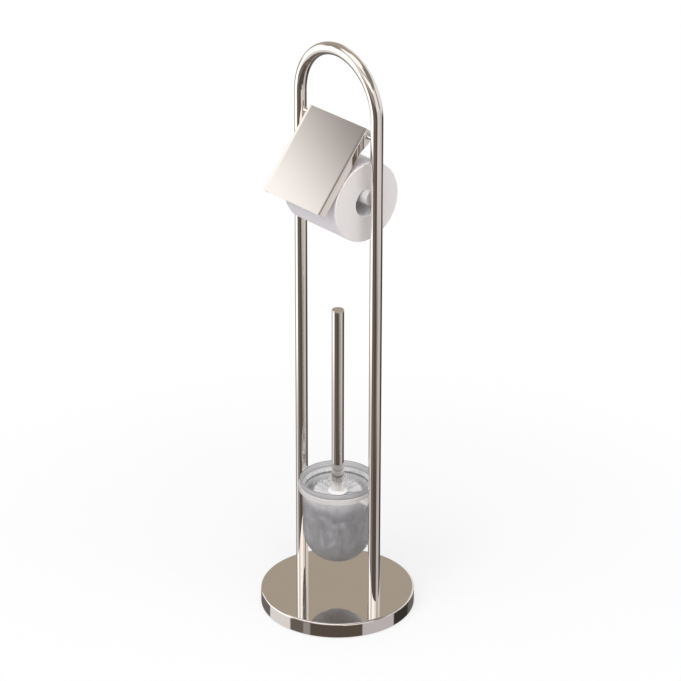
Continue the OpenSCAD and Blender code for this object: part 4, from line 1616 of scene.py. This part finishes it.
# What the mirrors see: tone, angles from left to right, heights from bottom to top, softness of the edges
FLOOR_TONE = (0.14, 0.118, 0.10)
WALL_TONE = (0.40, 0.35, 0.29)
CARDS = (
    # Pale horizon behind the object, and a light wall behind it on the right
    ((0.47, 0.44, 0.41), (-190, -136), (-24, 4), (3, 3, 3, 5)),
    ((0.40, 0.37, 0.34), (134, 190), (-24, 4), (2, 3, 3, 5)),
    ((0.84, 0.82, 0.79), (74, 172), (-12, 32), (3, 4, 4, 5)),
    # Dark floor in front and behind, with a lighter gap
    ((0.095, 0.076, 0.062), (-41, 38), (-60, -27.4), (1.5, 1.5, 8, 0.8)),
    ((0.085, 0.07, 0.06), (-20, 8), (-27.4, 0), (8, 2, 0.8, 5)),
    ((0.30, 0.275, 0.275), (-53, -42), (-50, -27.4), (1.5, 1.5, 8, 0.8)),
    ((0.155, 0.14, 0.135), (-190, -123), (-80, -26), (3, 1.5, 8, 2)),
    # Pale screen on the right, darker where it is low and far round
    ((0.52, 0.485, 0.505), (38, 94), (-64, -27.4), (1.5, 1.5, 6, 0.8)),
    ((0.70, 0.65, 0.63), (36, 96), (-27.4, -23), (30, 2, 0.8, 1.5)),
    ((0.72, 0.67, 0.65), (8, 96), (-24, 4), (2, 2, 1.5, 4)),
    ((0.53, 0.495, 0.49), (62, 96), (-28, -4), (20, 2, 1, 4)),
    ((0.72, 0.68, 0.67), (72, 92), (-24.2, -22.2), (3, 3, 0.8, 0.6)),
    ((0.86, 0.83, 0.81), (4, 60), (-2, 34), (3, 2, 4, 3)),
    ((0.16, 0.14, 0.13), (54, 67), (0, 31), (2, 2, 5, 3)),
    # Dark gap beside it
    ((0.04, 0.036, 0.033), (95, 134), (-80, -14), (1.5, 5, 6, 3)),
    ((0.14, 0.133, 0.13), (134, 190), (-80, -25), (5, 3, 8, 2)),
    # Greys above the horizon in front, on the left and on the right
    ((0.32, 0.295, 0.28), (-46, 6), (2, 22), (5, 3, 4, 3)),
    ((0.30, 0.275, 0.26), (-140, -86), (24, 50), (5, 4, 4, 4)),
    ((0.76, 0.73, 0.71), (-70, -42), (12, 50), (4, 5, 5, 4)),
    ((0.60, 0.57, 0.55), (-92, -66), (33, 47), (4, 4, 2, 4)),
    ((0.225, 0.21, 0.20), (26, 118), (33, 69), (8, 8, 3, 2)),
    # White screen on the left, which falls off towards the floor
    ((1.35, 1.33, 1.31), (-138, -68), (-8, 18), (3, 4, 4, 8)),
    ((1.25, 1.22, 1.20), (-124, -68), (-27, -4), (2, 3, 1.5, 4)),
    ((0.76, 0.73, 0.72), (-123, -76), (-50, -26.5), (1.5, 1.5, 8, 1.5)),
    ((1.14, 1.12, 1.10), (-112, -66), (14, 30.5), (3, 3, 8, 1.3)),
    ((1.36, 1.38, 1.42), (-96, -70), (20, 33), (2, 3, 4, 1)),
    # Softbox in front
    ((1.20, 1.18, 1.16), (-38, 14), (23, 42), (3, 5, 2, 3)),
    # Softbox overhead, which reaches lower on the left
    ((0.80, 0.77, 0.75), (-108, -48), (46, 60), (5, 5, 3, 2)),
    ((1.25, 1.23, 1.20), (-128, 8), (54, 100), (6, 5, 3, 4)),
    ((1.12, 1.10, 1.07), (-190, 190), (73, 100), (4, 4, 3, 4)),
)


def ray_kinds(graph):
    """Shares of camera rays, of rays that go through something, and of mirrored rays."""
    seen = graph.rays("Is Camera Ray")
    glossy = graph.rays("Is Glossy Ray")
    passed = graph.rays("Is Transmission Ray")
    diffuse = graph.rays("Is Diffuse Ray")
    return seen, passed * (1.0 - diffuse), glossy * (1.0 - passed)


# Light from all sides on what is matt, and the plain background
SOFT_LIGHT = (0.62, 0.62, 0.635)
WHITE = (1.0, 1.0, 1.0)
# Height in degrees at which the mirrored floor meets the wall, and half the width of that soft line
HORIZON = 3.0
HORIZON_SOFT = 5.0
# Two tones of the floor's faint clouds
FLOOR_DARK = (0.81, 0.81, 0.81)
FLOOR_LIGHT = (0.83, 0.83, 0.83)


def studio_world(sizes):
    """Even soft light for what is matt, the studio's cards for what mirrors them, and white behind."""
    _, right, front = view_axes(sizes)
    world = bpy.data.worlds.new("studio")
    world.use_nodes = True
    bpy.context.scene.world = world
    graph = Graph(world.node_tree)
    studio = Studio(graph, right, front)
    studio.start(FLOOR_TONE, WALL_TONE, HORIZON, HORIZON_SOFT)
    for card_settings in CARDS:
        studio.card(*card_settings)
    seen, passed, mirrored = ray_kinds(graph)
    soft = graph.mix(seen.larger(passed), SOFT_LIGHT, WHITE)
    colour_value = graph.mix(mirrored, soft, studio.colour)
    light = graph.add("ShaderNodeBackground", {}, {"Color": colour_value, "Strength": 1.0})
    graph.finish(light, "ShaderNodeOutputWorld")


def floor_finish(graph):
    """White floor that keeps the shadow and fades to plain white. Mirrors look past it, at the studio."""
    place = graph.place()
    shadow_until = 0.15
    white_from = 0.8
    least_white = 0.6
    away = graph.measure(place).rise(shadow_until, white_from)
    grain = graph.noise(place, scale=3.0)
    matt = graph.add("ShaderNodeBsdfDiffuse", {}, {"Color": graph.mix(grain, FLOOR_DARK, FLOOR_LIGHT)})
    white = graph.add("ShaderNodeEmission", {}, {"Color": opaque(WHITE), "Strength": 1.0})
    seen, passed, mirrored = ray_kinds(graph)
    share = seen.larger(passed) * away.between(least_white, 1.0)
    clear = graph.add("ShaderNodeBsdfTransparent")
    return graph.blend(mirrored, graph.blend(share, matt, white), clear)


# Height of the point that the lamps look at
AIM_HEIGHT = 0.4
# Lamps: name, metres from there towards the camera, to its right and up, then size and power
LAMPS = (
    ("key", 1.6, -1.5, 1.9, 1.6, 26.0),
    ("fill", 1.4, 2.0, 0.8, 1.8, 10.0),
    ("top", 0.8, 0.0, 2.1, 1.2, 26.0),
)


def add_lamp(name, place, aim, size, power):
    """A square soft lamp that mirrors don't show."""
    data = bpy.data.lights.new(name, "AREA")
    data.size = size
    data.energy = power
    lamp = bpy.data.objects.new(name, data)
    lamp.location = place
    lamp.rotation_euler = (Vector(aim) - Vector(place)).to_track_quat("-Z", "Y").to_euler()
    lamp.visible_glossy = False
    lamp.visible_transmission = False
    bpy.context.scene.collection.objects.link(lamp)


class BUTLER_OT_stage(bpy.types.Operator):
    """Floor, lamps, surroundings and camera"""

    bl_idname = "butler.stage"
    bl_label = "Stage"

    def execute(self, context):
        """Adds the stage."""
        sizes = context.scene.butler_stage
        context.scene.view_settings.view_transform = "Standard"
        rings = 12
        widening = 1.5
        reach = np.linspace(0, 1, rings) ** widening * sizes.floor_radius
        disc = turned(np.stack([reach, 0 * reach], axis=1), segments=64)
        index = np.arange(disc.shape[0] * disc.shape[1]).reshape(disc.shape[:2])
        floor = add_mesh("floor", disc.reshape(-1, 3), cells(index, False, True).tolist())
        floor.data.materials.append(material("floor", floor_finish))
        _, right, front = view_axes(sizes)
        aim = np.array([0, 0, AIM_HEIGHT])
        for name, ahead, aside, up, size, power in LAMPS:
            add_lamp(name, aim + front * ahead + right * aside + np.array([0, 0, up]), aim, size, power)
        studio_world(sizes)
        add_camera(sizes)
        return {"FINISHED"}


class BUTLER_PT_panel(bpy.types.Panel):
    """Sizes, colours and pieces of the butler"""

    bl_label = "Butler"
    bl_idname = "BUTLER_PT_panel"
    bl_space_type = "VIEW_3D"
    bl_region_type = "UI"
    bl_category = "Butler"

    def draw(self, context):
        """Lists each group of sizes with the buttons that build its pieces."""
        for name, kind in GROUPS.items():
            group = getattr(context.scene, name)
            box = self.layout.box()
            box.label(text=kind.__doc__.split(".")[0])
            for key in kind.__annotations__:
                box.prop(group, key)
        for operator in OPERATORS:
            self.layout.operator(operator.bl_idname)


GROUPS = {
    "butler_base": BaseSizes,
    "butler_frame": FrameSizes,
    "butler_flap": FlapSizes,
    "butler_roll": RollSizes,
    "butler_cup": CupSizes,
    "butler_brush": BrushSizes,
    "butler_spindle": SpindleSizes,
    "butler_colours": Colours,
    "butler_stage": StageSizes,
}
OPERATORS = (
    BUTLER_OT_base,
    BUTLER_OT_frame,
    BUTLER_OT_flap,
    BUTLER_OT_spindle,
    BUTLER_OT_roll,
    BUTLER_OT_cup,
    BUTLER_OT_brush,
    BUTLER_OT_hidden,
    BUTLER_OT_stage,
)


def register():
    """Adds the classes and the groups of sizes to Blender."""
    for kind in (*GROUPS.values(), *OPERATORS, BUTLER_PT_panel):
        bpy.utils.register_class(kind)
    for name, kind in GROUPS.items():
        setattr(bpy.types.Scene, name, PointerProperty(type=kind))


def unregister():
    """Takes them out again."""
    for name in GROUPS:
        delattr(bpy.types.Scene, name)
    for kind in (BUTLER_PT_panel, *reversed(OPERATORS), *GROUPS.values()):
        bpy.utils.unregister_class(kind)


def main():
    """Builds every piece."""
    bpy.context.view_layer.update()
    register()
    bpy.ops.butler.base()
    bpy.ops.butler.frame()
    bpy.ops.butler.flap()
    bpy.ops.butler.spindle()
    bpy.ops.butler.roll()
    bpy.ops.butler.cup()
    bpy.ops.butler.brush()
    bpy.ops.butler.hidden()
    bpy.ops.butler.stage()


if __name__ == "__main__":
    main()
